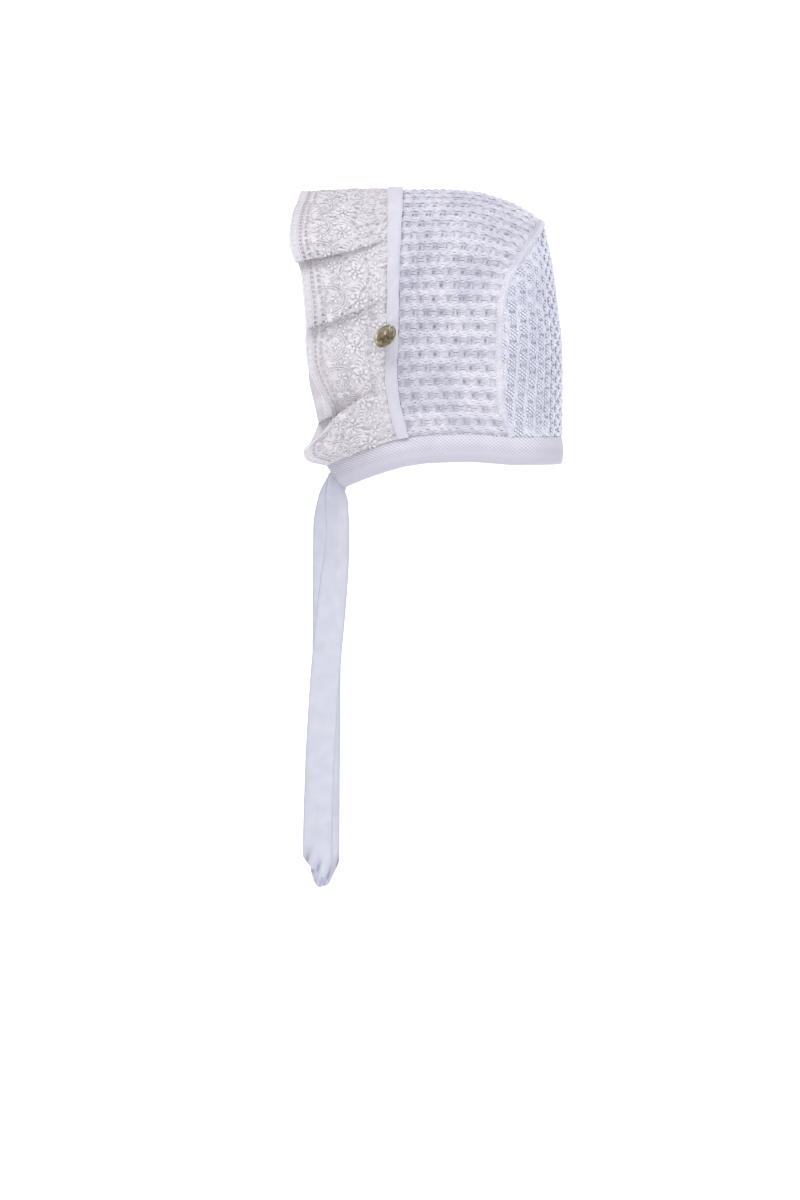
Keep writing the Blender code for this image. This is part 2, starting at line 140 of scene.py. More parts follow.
PLEAT_LIP, PLEAT_RISE, PLEAT_SHIFT = 0.87, 0.8, 0.4
CURL_BACK, CURL_IN = 0.012, 0.006  # of the near third fold's lower end
CURL_PLACES, CURL_SHARES = (0.60, 0.68, 0.74, 0.79, 0.83, 0.87, 0.91), (0.0, 0.25, 0.62, 1.0, 1.0, 0.6, 0.0)
LACE_GROUND = 0.0005  # the net's thickness
HOLE = 0.00085  # half the least distance between neighbouring holes
FILLING = 0.00135  # half the distance between neighbouring fillings

TIE_COLUMNS = "drop ahead width roll turn bow"
NEAR_TIE = table_of(
    TIE_COLUMNS,
    (
        (0.0, 0.0, 0.77, 47.0, 0.0, 0.0),
        (0.05, 0.000, 0.88, 16.0, 28.0, 0.004),
        (0.12, -0.003, 0.97, 3.0, 38.0, 0.010),
        (0.30, 0.012, 1.0, 3.0, 14.0, 0.012),
        (0.50, 0.030, 1.0, 4.0, 4.0, 0.010),
        (0.75, 0.044, 1.0, 2.0, 8.0, 0.006),
        (0.92, 0.048, 1.0, 0.0, 3.0, 0.004),
        (1.0, 0.045, 0.85, 0.0, 3.0, 0.002),
    ),
)
FAR_TIE = table_of(
    TIE_COLUMNS,
    (
        (0.0, 0.0, 0.77, 47.0, 0.0, 0.0),
        (0.05, 0.020, 0.90, 22.0, -12.0, 0.004),
        (0.12, 0.028, 1.0, 4.0, -8.0, 0.008),
        (0.40, 0.030, 1.0, 0.0, -2.0, 0.008),
        (0.75, 0.033, 1.0, -2.0, 4.0, 0.004),
        (0.92, 0.034, 1.0, -2.0, 4.0, 0.002),
        (1.0, 0.040, 0.85, -4.0, 4.0, 0.0),
    ),
)
TIE_CURL = 0.05  # how far its middle stands out, as a share of its width
FAR_TIE_LENGTH = TIE_LENGTH + FAR_TIE_EXTRA + 0.006
MIRROR = np.array([1.0, -1.0, 1.0])


def read(table, column, place):
    """A table's column at a place, on a smooth curve through its rows that doesn't overshoot them."""
    at = np.array([row[0] for row in table], float)
    value = np.array([getattr(row, column) for row in table], float)
    rise = np.diff(value) / np.diff(at)
    slope = np.concatenate([rise[:1], np.zeros(len(at) - 2), rise[-1:]])
    same_way = rise[:-1] * rise[1:] > 0
    slope[1:-1][same_way] = (2 * rise[:-1] * rise[1:])[same_way] / (rise[:-1] + rise[1:])[same_way]
    place = np.clip(place, at[0], at[-1])
    i = np.clip(np.searchsorted(at, place, "right") - 1, 0, len(at) - 2)
    step = at[i + 1] - at[i]
    s = (place - at[i]) / step
    rest = 1 - s
    ends = value[i] * rest**2 * (1 + 2 * s) + value[i + 1] * s**2 * (3 - 2 * s)
    return ends + step * s * rest * (slope[i] * rest - slope[i + 1] * s)


def unit(vectors):
    """The vectors, each a metre long."""
    return vectors / np.maximum(np.linalg.norm(vectors, axis=-1, keepdims=True), 1e-12)


def hoop(station, place, inset=0.0):
    """Points of the crown's half hoops, on the +Y side: station from the face edge (0) to the back seam (1),
    place from the top centre (0) down to the neck (1), inset from the outer surface towards the head."""
    station, place = np.broadcast_arrays(np.asarray(station, float), np.asarray(place, float))
    drop = read(TOP_LINE, "drop", station * SEAM_TOP) * CROWN_HEIGHT
    top = KNIT_WALL - drop - inset
    widest = KNIT_WALL - ARCH_HEIGHT
    low = KNIT_WALL - CROWN_HEIGHT * (1 + read(NECK_LINE, "drop", station))
    power = 2 / (ARCH_POWER_FACE + (ARCH_POWER_BACK - ARCH_POWER_FACE) * station)
    turn = np.clip(place / ARCH_SHARE, 0, 1) * math.pi / 2
    down = np.clip((place - ARCH_SHARE) / (1 - ARCH_SHARE), 0, 1)
    half = CROWN_WIDTH / 2 * read(WIDTH_LINE, "half", station) - inset
    for dent in DENTS:
        ahead, down_from = (station - dent.station) / dent.reach_along, (place - dent.place) / dent.reach_down
        half = half - dent.depth * CROWN_WIDTH * np.exp(-(ahead**2 + down_from**2))
    y = half * np.sin(turn) ** power * (1 - NECK_TAPER * down**2)
    arch = top - (top - widest) * (1 - np.clip(np.cos(turn), 0, 1) ** power)
    z = np.where(place < ARCH_SHARE, arch, widest - (widest - low) * down)
    height = (top - z) / (top - low)
    face, seam = read(FACE_EDGE, "depth", height), read(BACK_SEAM, "depth", height)
    x = CROWN_DEPTH * (face * (1 - station) + seam * station) - HEAD_SEAT_BACK
    x = x - inset * station * np.clip(1 - height / 0.3, 0, 1)
    return np.stack([x, y, z], axis=-1)


def back(across, place, inset=0.0):
    """Points of the back panel: across from -1 (the -Y seam) to 1, place down the seam from its top."""
    across, place = np.broadcast_arrays(np.asarray(across, float), np.asarray(place, float))
    seam = hoop(np.ones_like(place), place, inset)
    top, low = hoop(1.0, 0.0, inset)[..., 2], hoop(1.0, 1.0, inset)[..., 2]
    height = (top - seam[..., 2]) / (top - low)
    middle = CROWN_DEPTH * read(BACK_LINE, "depth", height) - HEAD_SEAT_BACK - inset
    turn = across * math.pi / 2
    power = 2 / BACK_POWER
    x = seam[..., 0] + (middle - seam[..., 0]) * np.clip(np.cos(turn), 0, 1) ** power
    y = seam[..., 1] * np.sign(turn) * np.abs(np.sin(turn)) ** power
    return np.stack([x, y, seam[..., 2]], axis=-1)


def face_frame(place):
    """At places on the face edge: the point, the direction down the hoop and the outward normal."""
    step = 1e-3
    low, high = np.clip(place - step, 0, 1), np.clip(place + step, 0, 1)
    down = hoop(0.0, high) - hoop(0.0, low)
    down[..., 0] = 0
    down = unit(down)
    out = np.stack([np.zeros_like(down[..., 0]), -down[..., 2], down[..., 1]], axis=-1)
    return hoop(0.0, place), down, out


HALF_HOOP = float(np.linalg.norm(np.diff(hoop(0.0, np.linspace(0, 1, 200)), axis=0), axis=1).sum())


def neck_edge(run, inset=0.0):
    """The line that the neck band hangs from, on the +Y side: run 0 at the back, 1 at the seam, 2 at the
    tape, 3 at the band's front end."""
    run = np.asarray(run, float)
    parts = [
        back(np.clip(run, 0, 1), 1.0, inset),
        hoop(np.clip(2 - run, 0, 1), 1.0, inset),
        pleated(1.0, np.clip(run - 2, 0, 1)) - np.array([0.0, inset, 0.0]),
    ]
    return np.where((run < 1)[..., None], parts[0], np.where((run < 2)[..., None], parts[1], parts[2]))


def on_side(points, side):
    """The points of the +Y side, moved to their own side, -1 or 1."""
    return points * np.stack([np.ones_like(side), side, np.ones_like(side)], axis=-1)


def both_sides(half, mirror=MIRROR):
    """A row of points or numbers from the middle to the +Y end, and its mirror image before it."""
    return np.concatenate([half[:0:-1] * mirror, half])


def along_path(at, far, path):
    """Points or directions at lengths along a path, which is given at the lengths far."""
    return np.stack([np.interp(at, far, path[:, k]) for k in range(3)], axis=-1)


def even_runs(count):
    """Values of run that are evenly spaced along the neck edge, from its back to its front end."""
    fine = np.linspace(0, 3, 601)
    along = lengths_along(neck_edge(fine))
    return np.interp(np.linspace(0, along[-1], count), along, fine)


def lengths_along(points):
    """The length from a line's start to each of its points."""
    return np.concatenate([[0], np.cumsum(np.linalg.norm(np.diff(points, axis=0), axis=1))])


def band(run, drop, inset=0.0):
    """Points of the neck band: run as in neck_edge, drop from its upper edge (0) to its lower edge (1)."""
    run, drop, inset = np.broadcast_arrays(*(np.asarray(v, float) for v in (run, drop, inset)))
    window = 0.16
    tangent = neck_edge(np.clip(run + window, 0, 3)) - neck_edge(np.clip(run - window, 0, 3))
    level = tangent.copy()
    level[..., 2] = 0
    level = unit(level)
    out = np.stack([level[..., 1], -level[..., 0], np.zeros_like(run)], axis=-1)
    slope = unit(tangent)
    down = np.cross(slope, out)
    down = down * np.sign(-down[..., 2:])
    fall = GAP + BAND_HEIGHT * drop
    swell = BAND_CROWN * 4 * drop * (1 - drop) - inset
    short = BAND_SLANT * drop * np.clip(run - 2, 0, 1) ** 2
    return neck_edge(run) + down * fall[..., None] + out * swell[..., None] - slope * short[..., None]


def tie(table, length, drop, across, side, inset=0.0):
    """Points of a tie on its side, -1 or 1: drop from the band (0) to the cut end (1), across from its back
    edge (-1) to its front. The -Y tie is cut on a slant, shorter in front, the other one to a blunt point."""
    drop, across = np.broadcast_arrays(np.asarray(drop, float), np.asarray(across, float))
    high, low = band(3.0, 0.3), band(3.0, 1.0)
    ahead = unit(high - band(2.8, 0.3))
    end = unit(low - high)
    start = (high + low) / 2 + unit(ahead - end * (ahead @ end)) * GAP * 2
    if side < 0:
        cut = TIE_SLANT * (1 + across) / 2 + 0.003 * np.abs(across) ** 5
    else:
        short_back = 0.0160 * (np.abs(0.1 - across) / 1.1) ** 3.0
        short_front = 0.0110 * (np.abs(across - 0.1) / 0.9) ** 3.0
        cut = np.where(across < 0.1, short_back, short_front)
    drop = drop * (1 - cut / length)
    roll, turn = (np.radians(read(table, name, drop)) for name in ("roll", "turn"))
    half = TIE_WIDTH / 2 * read(table, "width", drop)
    wide = np.stack([-np.cos(roll) * np.cos(turn), -np.cos(roll) * np.sin(turn), np.sin(roll)], axis=-1)
    out = np.stack([-np.sin(turn), np.cos(turn), np.zeros_like(turn)], axis=-1)
    middle = np.stack(
        [
            start[0] - read(table, "ahead", drop) * length,
            start[1] + read(table, "bow", drop) * length,
            start[2] - drop * length,
        ],
        axis=-1,
    )
    stand = TIE_CURL * TIE_WIDTH * (1 - across**2) * np.clip(drop * 8, 0, 1) - inset
    points = middle + wide * (half * across)[..., None] + out * stand[..., None]
    return points * np.array([1.0, side, 1.0])


class Shape:
    """Points and four-sided faces gathered for one mesh, with three numbers for its finish at each point: two
    places in the cloth, and a mark for painted shade in pits, creases and hole rims, or for the lace's
    edging."""

    def __init__(self):
        self.points, self.faces, self.cloth, self.count = [], [], [], 0

    def add(self, points, faces, cloth):
        self.points.append(points.reshape(-1, 3))
        self.faces.append(faces.reshape(-1, 4) + self.count)
        self.cloth.append(np.broadcast_to(cloth, points.shape).reshape(-1, 3))
        self.count += len(self.points[-1])

    def made(self, name, finish, node_slot, sharp=50):
        """The object, linked to the scene; edges over sharp degrees stay crisp."""
        points, faces, cloth = (np.concatenate(v) for v in (self.points, self.faces, self.cloth))
        mesh = bpy.data.meshes.new(name)
        mesh.vertices.add(len(points))
        mesh.vertices.foreach_set("co", points.astype("f4").ravel())
        mesh.loops.add(faces.size)
        mesh.loops.foreach_set("vertex_index", faces.astype("i4").ravel())
        mesh.polygons.add(len(faces))
        mesh.polygons.foreach_set("loop_start", np.arange(0, faces.size, 4, dtype="i4"))
        mesh.update(calc_edges=True)
        places = mesh.attributes.new("cloth", "FLOAT_VECTOR", "POINT")
        places.data.foreach_set("vector", cloth.astype("f4").ravel())
        mesh.shade_smooth()
        mesh.set_sharp_from_angle(angle=math.radians(sharp))
        mesh.materials.append(finish)
        made = bpy.data.objects.new(name, mesh)
        bpy.context.scene.collection.objects.link(made)
        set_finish(made, node_slot)
        return made


def grid_faces(rows, columns, wrap=False):
    """Faces of a grid of points, rows by columns. wrap joins the last column to the first."""
    i = np.arange(rows - 1)[:, None]
    j = np.arange(columns if wrap else columns - 1)[None, :]
    k = (j + 1) % columns
    return np.stack([i * columns + j, i * columns + k, (i + 1) * columns + k, (i + 1) * columns + j], axis=-1)


def add_tubes(shape, lines, ups, wide, high, sides, cloth_at=0.0):
    """Closed tubes along lines (tubes, points, 3). ups point away from the cloth; wide and high are half
    sizes. Their finish gets the length along each tube, the share round it, and cloth_at as the mark."""
    tubes, count = lines.shape[:2]
    along = unit(np.gradient(lines, axis=1))
    side = unit(np.cross(along, ups))
    up = np.cross(side, along)
    turn = np.linspace(0, 2 * math.pi, sides, endpoint=False)[:, None]
    wide, high = (np.broadcast_to(v, (tubes, count))[..., None, None] for v in (wide, high))
    rings = lines[:, :, None] + side[:, :, None] * np.cos(turn) * wide + up[:, :, None] * np.sin(turn) * high
    faces = grid_faces(count, sides, wrap=True).reshape(-1, 4)
    fan = np.array([(0, i, i + 1, i + 2) for i in range(1, sides - 2, 2)])
    faces = np.concatenate([faces, fan[:, ::-1], fan + (count - 1) * sides])
    faces = faces[None] + (np.arange(tubes) * count * sides)[:, None, None]
    step = np.linalg.norm(np.diff(lines, axis=1), axis=2)
    far = np.concatenate([np.zeros((tubes, 1)), np.cumsum(step, axis=1)], axis=1)
    cloth = np.zeros(rings.shape)
    cloth[..., 0] = far[..., None]
    cloth[..., 1] = np.linspace(0, 1, sides, endpoint=False)
    cloth_at = np.asarray(cloth_at, float)
    cloth_at = cloth_at if cloth_at.ndim == 2 else cloth_at.reshape(-1, 1)
    cloth[..., 2] = np.broadcast_to(cloth_at, (tubes, count))[..., None]
    shape.add(rings, faces, cloth)


def add_wall(shape, outer, inner, keep, cloth):
    """A closed wall between two grids of points, cut through where keep, a grid of faces, is false. A wall
    with holes is marked on its outer grid alone."""
    rows, columns = outer.shape[:2]
    inside = (1.0, 1.0, 1.0 if keep is None else 0.0)
    keep = np.ones((rows - 1, columns - 1), bool) if keep is None else keep
    quads = grid_faces(rows, columns)
    far = rows * columns
    faces = [quads[keep], quads[keep][:, ::-1] + far]
    padded = np.pad(keep, 1)
    for (di, dj), (a, b) in (((-1, 0), (0, 1)), ((0, 1), (1, 2)), ((1, 0), (2, 3)), ((0, -1), (3, 0))):
        beside = padded[1 + di : rows + di, 1 + dj : columns + dj]
        rim = quads[keep & ~beside]
        faces.append(np.stack([rim[:, b], rim[:, a], rim[:, a] + far, rim[:, b] + far], axis=-1))
    points = np.concatenate([outer.reshape(-1, 3), inner.reshape(-1, 3)])
    faces = np.concatenate(faces)
    cloth = np.concatenate([cloth.reshape(-1, 3), cloth.reshape(-1, 3) * inside])
    used, index = np.unique(faces, return_inverse=True)
    shape.add(points[used], index.reshape(-1, 4), cloth[used])


def hole_rims(keep):
    """Which points of a wall's grid are on the rim of a hole."""
    beside = np.pad(keep, 1, constant_values=True)
    return ~(beside[1:, 1:] & beside[1:, :-1] & beside[:-1, 1:] & beside[:-1, :-1])


# Finishes


class Nodes:
    """A material's node tree, built in short calls."""

    def __init__(self, name):
        self.material = bpy.data.materials.new(name)
        self.material.use_nodes = True
        self.tree = self.material.node_tree
        self.shader = self.tree.nodes["Principled BSDF"]

    def add(self, kind, inputs=None, **settings):
        node = self.tree.nodes.new("ShaderNode" + kind)
        for key, value in settings.items():
            setattr(node, key, value)
        for key, value in (inputs or {}).items():
            self.set(node.inputs[key], value)
        return node

    def set(self, socket, value):
        if hasattr(value, "links"):
            self.tree.links.new(value, socket)
        else:
            socket.default_value = value

    def math(self, operation, a, b=0.0, c=0.0):
        return self.add("Math", {0: a, 1: b, 2: c}, operation=operation).outputs[0]

    def wave(self, value, turns):
        return self.math("SINE", self.math("MULTIPLY", value, turns))

    def cloth(self):
        at = self.add("Attribute", attribute_name="cloth")
        return self.add("SeparateXYZ", {0: at.outputs["Vector"]}).outputs

    def place(self):
        return self.add("TexCoord").outputs["Object"]

    def noise(self, scale, detail=2.0, vector=None, roughness=0.5):
        inputs = {"Vector": vector or self.place(), "Scale": scale, "Detail": detail, "Roughness": roughness}
        return self.add("TexNoise", inputs).outputs["Fac"]

    def ramp(self, value, low, high, to_low=0.0, to_high=1.0):
        inputs = {0: value, 1: low, 2: high, 3: to_low, 4: to_high}
        return self.add("MapRange", inputs).outputs[0]

    def mix(self, factor, a, b):
        node = self.add("Mix", data_type="RGBA")
        for name, value in (("Factor_Float", factor), ("A_Color", a), ("B_Color", b)):
            socket = next(s for s in node.inputs if s.identifier == name)
            self.set(socket, value)
        return next(s for s in node.outputs if s.identifier == "Result_Color")

    def bump(self, height, distance, strength=1.0, normal=None):
        inputs = {"Height": height, "Distance": distance, "Strength": strength}
        if normal:
            inputs["Normal"] = normal
        return self.add("Bump", inputs).outputs["Normal"]

    def finish(self, **sockets):
        for name, value in sockets.items():
            self.set(self.shader.inputs[name.replace("_", " ")], value)
        return self.material


def colour(red, green, blue):
    """A screen colour, 0 to 255, as the shader's linear values."""
    share = [v / 255 for v in (red, green, blue)]
    return (*(v / 12.92 if v <= 0.04045 else ((v + 0.055) / 1.055) ** 2.4 for v in share), 1.0)


def yarn(name, light, dark, ply=900.0, painted_shade=None, outline_shade=None, stitch=None):
    """Twisted cotton yarn: fine plies round each strand and a soft nap. pit is the colour of painted shade
    where it is marked, outline the colour of painted shade along both sides of a strand, and stitch the size
    of the loops in a knitted ground."""
    n = Nodes(name)
    far, round_it, depth = n.cloth()
    twist = n.math("ADD", n.math("MULTIPLY", far, ply), n.math("MULTIPLY", round_it, 2.0 * math.pi * 2))
    plies = n.math("SINE", twist)
    nap = n.noise(1500.0, 3.0)
    patch = n.noise(60.0, 2.0)
    height = n.math("ADD", n.math("MULTIPLY", plies, 0.5), n.math("MULTIPLY", nap, 0.8))
    normal = n.bump(height, 0.00022, 0.75)
    tint = n.mix(n.ramp(patch, 0.35, 0.65), colour(*dark), colour(*light))
    # Painted shade in the grooves between the plies.
    tint = n.mix(n.ramp(plies, -1.0, 0.2, 0.35, 0.0), tint, colour(*dark))
    if stitch:
        loops = n.math("MULTIPLY", *(n.wave(v, 2 * math.pi / stitch) for v in (far, round_it)))
        normal = n.bump(loops, 0.00012, 0.8, normal)
        # Painted shade in the gaps between the knitted loops.
        tint = n.mix(n.ramp(loops, 0.1, -0.8, 0.0, 0.5), tint, colour(*dark))
    # Painted shade where the cloth is marked.
    if painted_shade:
        tint = n.mix(depth, tint, colour(*painted_shade))
    # Painted shade along both flanks of each strand.
    if outline_shade:
        lap = n.math("FRACT", n.math("MULTIPLY", round_it, 2.0))
        side = n.math("ABSOLUTE", n.math("MULTIPLY_ADD", lap, 2.0, -1.0))
        tint = n.mix(n.ramp(side, 0.45, 0.80, 0.0, 0.75), tint, colour(*outline_shade))
    return n.finish(
        Base_Color=tint,
        Roughness=0.92,
        Normal=normal,
        Sheen_Weight=0.25,
        Sheen_Roughness=0.4,
        Specular_IOR_Level=0.2,
    )


def cotton(name, light, dark, thread=0.00042, relief=0.00008, slant=0.0, painted_shade=None, shade_fade=None):
    """Plain or twill woven cotton, its threads along the cloth's own directions. pit is the colour of painted
    shade where it is marked, and fade the start, end and colour of painted shade across it."""
    n = Nodes(name)
    along, across, depth = n.cloth()
    turns = 2 * math.pi / thread
    if slant:
        along = n.math("ADD", along, n.math("MULTIPLY", across, slant))
    weave = n.math("MULTIPLY", n.wave(across, turns), n.wave(along, turns))
    nap = n.noise(1800.0, 2.0)
    soft = n.noise(120.0, 2.0)
    height = n.math("ADD", n.math("MULTIPLY", weave, 0.5), n.math("MULTIPLY", nap, 0.5))
    normal = n.bump(soft, 0.0006, 0.35)
    normal = n.bump(height, relief, 0.8, normal)
    tint = n.mix(n.ramp(soft, 0.3, 0.7), colour(*dark), colour(*light))
    # Painted shade across the cloth, between the start and end that fade gives.
    if shade_fade:
        tint = n.mix(n.ramp(across, shade_fade[0], shade_fade[1]), tint, colour(*shade_fade[2]))
    # Painted shade where the cloth is marked.
    if painted_shade:
        tint = n.mix(depth, tint, colour(*painted_shade))
    return n.finish(
        Base_Color=tint,
        Roughness=0.85,
        Normal=normal,
        Sheen_Weight=0.2,
        Sheen_Roughness=0.4,
        Specular_IOR_Level=0.25,
    )


def lacework(name, light, dark):
    """The lace's fine net. A mark of 1 gives its edging's tone, partly painted shade, -1 painted shade at the
    rims of its holes.
    """
    n = Nodes(name)
    along, across, edging_and_shade = n.cloth()
    turns = 2 * math.pi / 0.0011
    net = [n.wave(n.math(way, along, across), turns) for way in ("ADD", "SUBTRACT")]
    net = n.math("MAXIMUM", *net)
    nap = n.noise(1600.0, 3.0)
    soft = n.noise(110.0, 3.0)
    height = n.math("ADD", n.math("MULTIPLY", net, 0.5), n.math("MULTIPLY", nap, 0.6))
    normal = n.bump(height, 0.00016, 0.9)
    tint = n.mix(n.ramp(soft, 0.35, 0.65), colour(*dark), colour(*light))
    # Painted shade in the net's low places between its threads.
    tint = n.mix(n.ramp(net, 0.3, -0.6, 0.0, 0.45), tint, colour(*dark))
    # The edging's own tone, partly painted shade against the light that its curled edge catches.
    tint = n.mix(n.ramp(edging_and_shade, 0.0, 1.0), tint, colour(*NET_EDGING_AND_SHADE))
    # Painted shade round the rims of the net's holes.
    tint = n.mix(n.ramp(edging_and_shade, 0.0, -1.0), tint, colour(*NET_HOLE_SHADE))
    return n.finish(
        Base_Color=tint,
        Roughness=0.9,
        Normal=normal,
        Sheen_Weight=0.15,
        Specular_IOR_Level=0.2,
        Subsurface_Weight=0.3,
        Subsurface_Radius=(1.0, 0.85, 0.75),
        Subsurface_Scale=0.004,
    )


def brass(name):
    """Aged brass: warm metal with dark and greenish patina in patches."""
    n = Nodes(name)
    patch = n.noise(220.0, 3.0, roughness=0.6)
    grain = n.noise(2600.0, 3.0)
    metal = n.mix(n.ramp(patch, 0.36, 0.70), colour(*BRASS_DARK), colour(*BRASS_LIGHT))
    metal = n.mix(n.ramp(n.noise(230.0, 2.0), 0.55, 0.7, 0.0, 0.5), metal, colour(*BRASS_GREEN))
    rough = n.ramp(patch, 0.3, 0.7, 0.55, 0.32)
    return n.finish(Base_Color=metal, Metallic=0.85, Roughness=rough, Normal=n.bump(grain, 0.00004, 0.6))


# Screen colours, light and dark, and the painted shade for pits, creases, hole rims, cord flanks and the
# band's low part, and the lace edging's tone
KNIT_LIGHT, KNIT_DARK, KNIT_SHADE = (223, 222, 231), (203, 202, 215), (120, 118, 138)
# The back panel's yarn is painted lighter than the crown's same yarn: painted light for the less light its
# side gets.
BACK_LIGHT, BACK_DARK, BACK_SHADE = (235, 236, 246), (225, 226, 240), (128, 129, 148)
TAPE_LIGHT, TAPE_DARK = (214, 212, 222), (208, 206, 218)
LACE_LIGHT, LACE_DARK, LACE_OUTLINE_SHADE = (230, 227, 234), (220, 216, 223), (167, 159, 168)
NET_LIGHT, NET_DARK = (226, 222, 229), (211, 206, 213)
NET_EDGING_AND_SHADE, NET_HOLE_SHADE = (217, 215, 224), (136, 128, 138)
TIE_LIGHT, TIE_DARK, TIE_SHADE = (205, 207, 219), (197, 199, 213), (158, 160, 182)
BAND_LIGHT, BAND_DARK = (230, 229, 237), (224, 222, 232)
BAND_LOW_SHADE, BAND_PIT_SHADE = (197, 195, 208), (158, 154, 175)
BRASS_LIGHT, BRASS_DARK, BRASS_GREEN = (196, 186, 156), (92, 80, 62), (134, 140, 110)

rng = np.random.default_rng(11)


# Knit: places on the crown and the back panel by row and by column

FINE = np.linspace(0, 1, 401)
ROW_ARC = lengths_along(hoop(0.35, FINE))
NECK_ROW = ROW_COUNT - 0.5
ROW_PITCH = ROW_ARC[-1] / NECK_ROW


def crown(row, station, inset=0.0):
    """Points of the crown by knit row: 0 on top, up to NECK_ROW down the +Y side, negative on the -Y side."""
    points = hoop(station, np.interp(np.abs(row) * ROW_PITCH, ROW_ARC, FINE), inset)
    return on_side(points, np.sign(np.broadcast_to(row, points.shape[:-1])))


def crown_up(row, station):
    """The crown's outward normals."""
    step = 0.03
    down = crown(row + step, station) - crown(row - step, station)
    along = crown(row, np.clip(station + step, 0, 1)) - crown(row, np.clip(station - step, 0, 1))
    up = unit(np.cross(down, along))
    away = crown(row, station) * np.array([0.0, 1.0, 1.0]) + np.array([0.0, 0.0, ARCH_HEIGHT])
    return up * np.sign((up * away).sum(-1, keepdims=True))


def row_run(row):
    """A knit row's stations and the lengths along it, from under the tape to the seam."""
    row = np.full(len(FINE), float(row))
    ends = crown(row[:2], np.array([0.0, 1.0]))
    first = KNIT_START / (ends[1, 0] - ends[0, 0])
    station = np.linspace(first, 1 - 0.0012 / CROWN_DEPTH, len(FINE))
    return station, lengths_along(crown(row, station))


def panel_table():
    """The back panel's half width at each place, and its across there for the widths in PANEL_WIDE."""
    grid = back(PANEL_ACROSS[None], PANEL_PLACE[:, None])
    far = np.cumsum(np.linalg.norm(np.diff(grid, axis=1, prepend=grid[:, :1]), axis=2), axis=1)
    halves = far[:, -1] / 2
    across = [np.interp(PANEL_WIDE + half, row, PANEL_ACROSS) for half, row in zip(halves, far)]
    return halves, np.stack(across)


PANEL_PLACE, PANEL_ACROSS = np.linspace(0, 1, 241), np.linspace(-1, 1, 401)
PANEL_WIDE = np.linspace(-0.11, 0.11, 441)
PANEL_HALF, PANEL_TABLE = panel_table()
PANEL_DOWN = lengths_along(back(0.0, PANEL_PLACE))


def panel(wide, down, inset=0.0):
    """Points of the back panel: wide from its middle line, down from its top, in metres along the cloth."""
    wide, down = np.broadcast_arrays(wide, down)
    place = np.interp(down, PANEL_DOWN, PANEL_PLACE)
    i = place * (len(PANEL_PLACE) - 1)
    j = np.clip((wide - PANEL_WIDE[0]) / (PANEL_WIDE[1] - PANEL_WIDE[0]), 0, len(PANEL_WIDE) - 1.001)
    i = np.clip(i, 0, len(PANEL_PLACE) - 1.001)
    i0, j0 = i.astype(int), j.astype(int)
    fi, fj = i - i0, j - j0
    across = (PANEL_TABLE[i0, j0] * (1 - fj) + PANEL_TABLE[i0, j0 + 1] * fj) * (1 - fi)
    across = across + (PANEL_TABLE[i0 + 1, j0] * (1 - fj) + PANEL_TABLE[i0 + 1, j0 + 1] * fj) * fi
    return back(across, place, inset)


def panel_half(down):
    """The panel's half width at lengths down from its top."""
    return np.interp(np.interp(down, PANEL_DOWN, PANEL_PLACE), PANEL_PLACE, PANEL_HALF)


def panel_up(wide, down):
    """The panel's outward normals."""
    step = 0.0008
    right = panel(wide + step, down) - panel(wide - step, down)
    low = panel(wide, down + step) - panel(wide, down - step)
    up = unit(np.cross(right, low))
    away = panel(wide, down) - np.array([0.0, 0.0, -ARCH_HEIGHT])
    return up * np.sign((up * away).sum(-1, keepdims=True))


def eyelets(row):
    """The phase of the holes in the valley at row + 0.5, in cells."""
    return 0.5 * (math.floor(row) % 2)


def crown_knit(finish):
    """The crown's rows: puffed ridges of side-by-side strands, and between them short bars and holes."""
    shape = Shape()
    strand = 0
    for row in range(-ROW_COUNT + 1, ROW_COUNT):
        station, far = row_run(row)
        count = int(far[-1] / (CELL / YARN_STEPS)) + 1
        u = np.linspace(0, far[-1], count)
        at = np.interp(u, far, station)
        above = eyelets(row - 1 if row > 0 else row)
        cell = 2 * math.pi * (u / CELL - above)
        for lane in PUFF_STRANDS:
            strand += 1
            sway = np.cos(cell) * -0.00062 + np.sin(2 * cell + lane * math.pi + row) * 0.00022
            sway = sway + lane * (0.00124 + 0.00018 * np.cos(2 * cell)) + rng.normal(0, 0.00008, count)
            height = 0.00080 + 0.00026 * abs(lane) - 0.00034 * np.cos(2 * cell + 0.8 * lane)
            height = height + rng.normal(0, 0.00006, count)
            tuck = np.exp(-(((far[-1] - u) / 0.002) ** 2)) * 0.0008
            lanes = np.clip(row + sway / ROW_PITCH, -NECK_ROW, NECK_ROW)
            line = crown(lanes, at, height + tuck)
            radius = STRAND * (0.86 + 0.12 * np.cos(2 * cell + lane) + rng.normal(0, 0.02, count))
            ups = crown_up(lanes, at)[None]
            add_tubes(shape, line[None], ups, radius * 0.92, radius * 0.8, 6, strand * 0.37)
    for row in range(-ROW_COUNT, ROW_COUNT):
        middle = row + 0.5
        station, far = row_run(middle)
        first = eyelets(row) + 0.5
        centres = np.arange(first, far[-1] / CELL + 0.2, 1.0) * CELL
        if not len(centres):
            continue
        offsets = np.array([-1.65, -0.55, 0.55, 1.65]) * 0.00094
        if row in (-ROW_COUNT, ROW_COUNT - 1):
            offsets = offsets[:2] * math.copysign(1, middle)
        c, v = (a.ravel() for a in np.meshgrid(centres, offsets))
        c = c + rng.normal(0, 0.00018, len(c))
        v = v + rng.normal(0, 0.00010, len(v))
        reach = 0.0027 + rng.normal(0, 0.0002, len(c))
        s = np.linspace(-1, 1, 6)[None, :]
        u = c[:, None] + reach[:, None] * s
        lanes = np.clip(middle + (v[:, None] * (1 - 0.22 * s**2)) / ROW_PITCH, -NECK_ROW, NECK_ROW)
        at = np.interp(u, far, station)
        line = crown(lanes, at, 0.00105 + 0.0010 * s**2)
        add_tubes(shape, line, crown_up(lanes, at), EYE_STRAND, EYE_STRAND, 6, rng.random(len(c)))
    return shape.made("crown_yarn", finish, "knit")


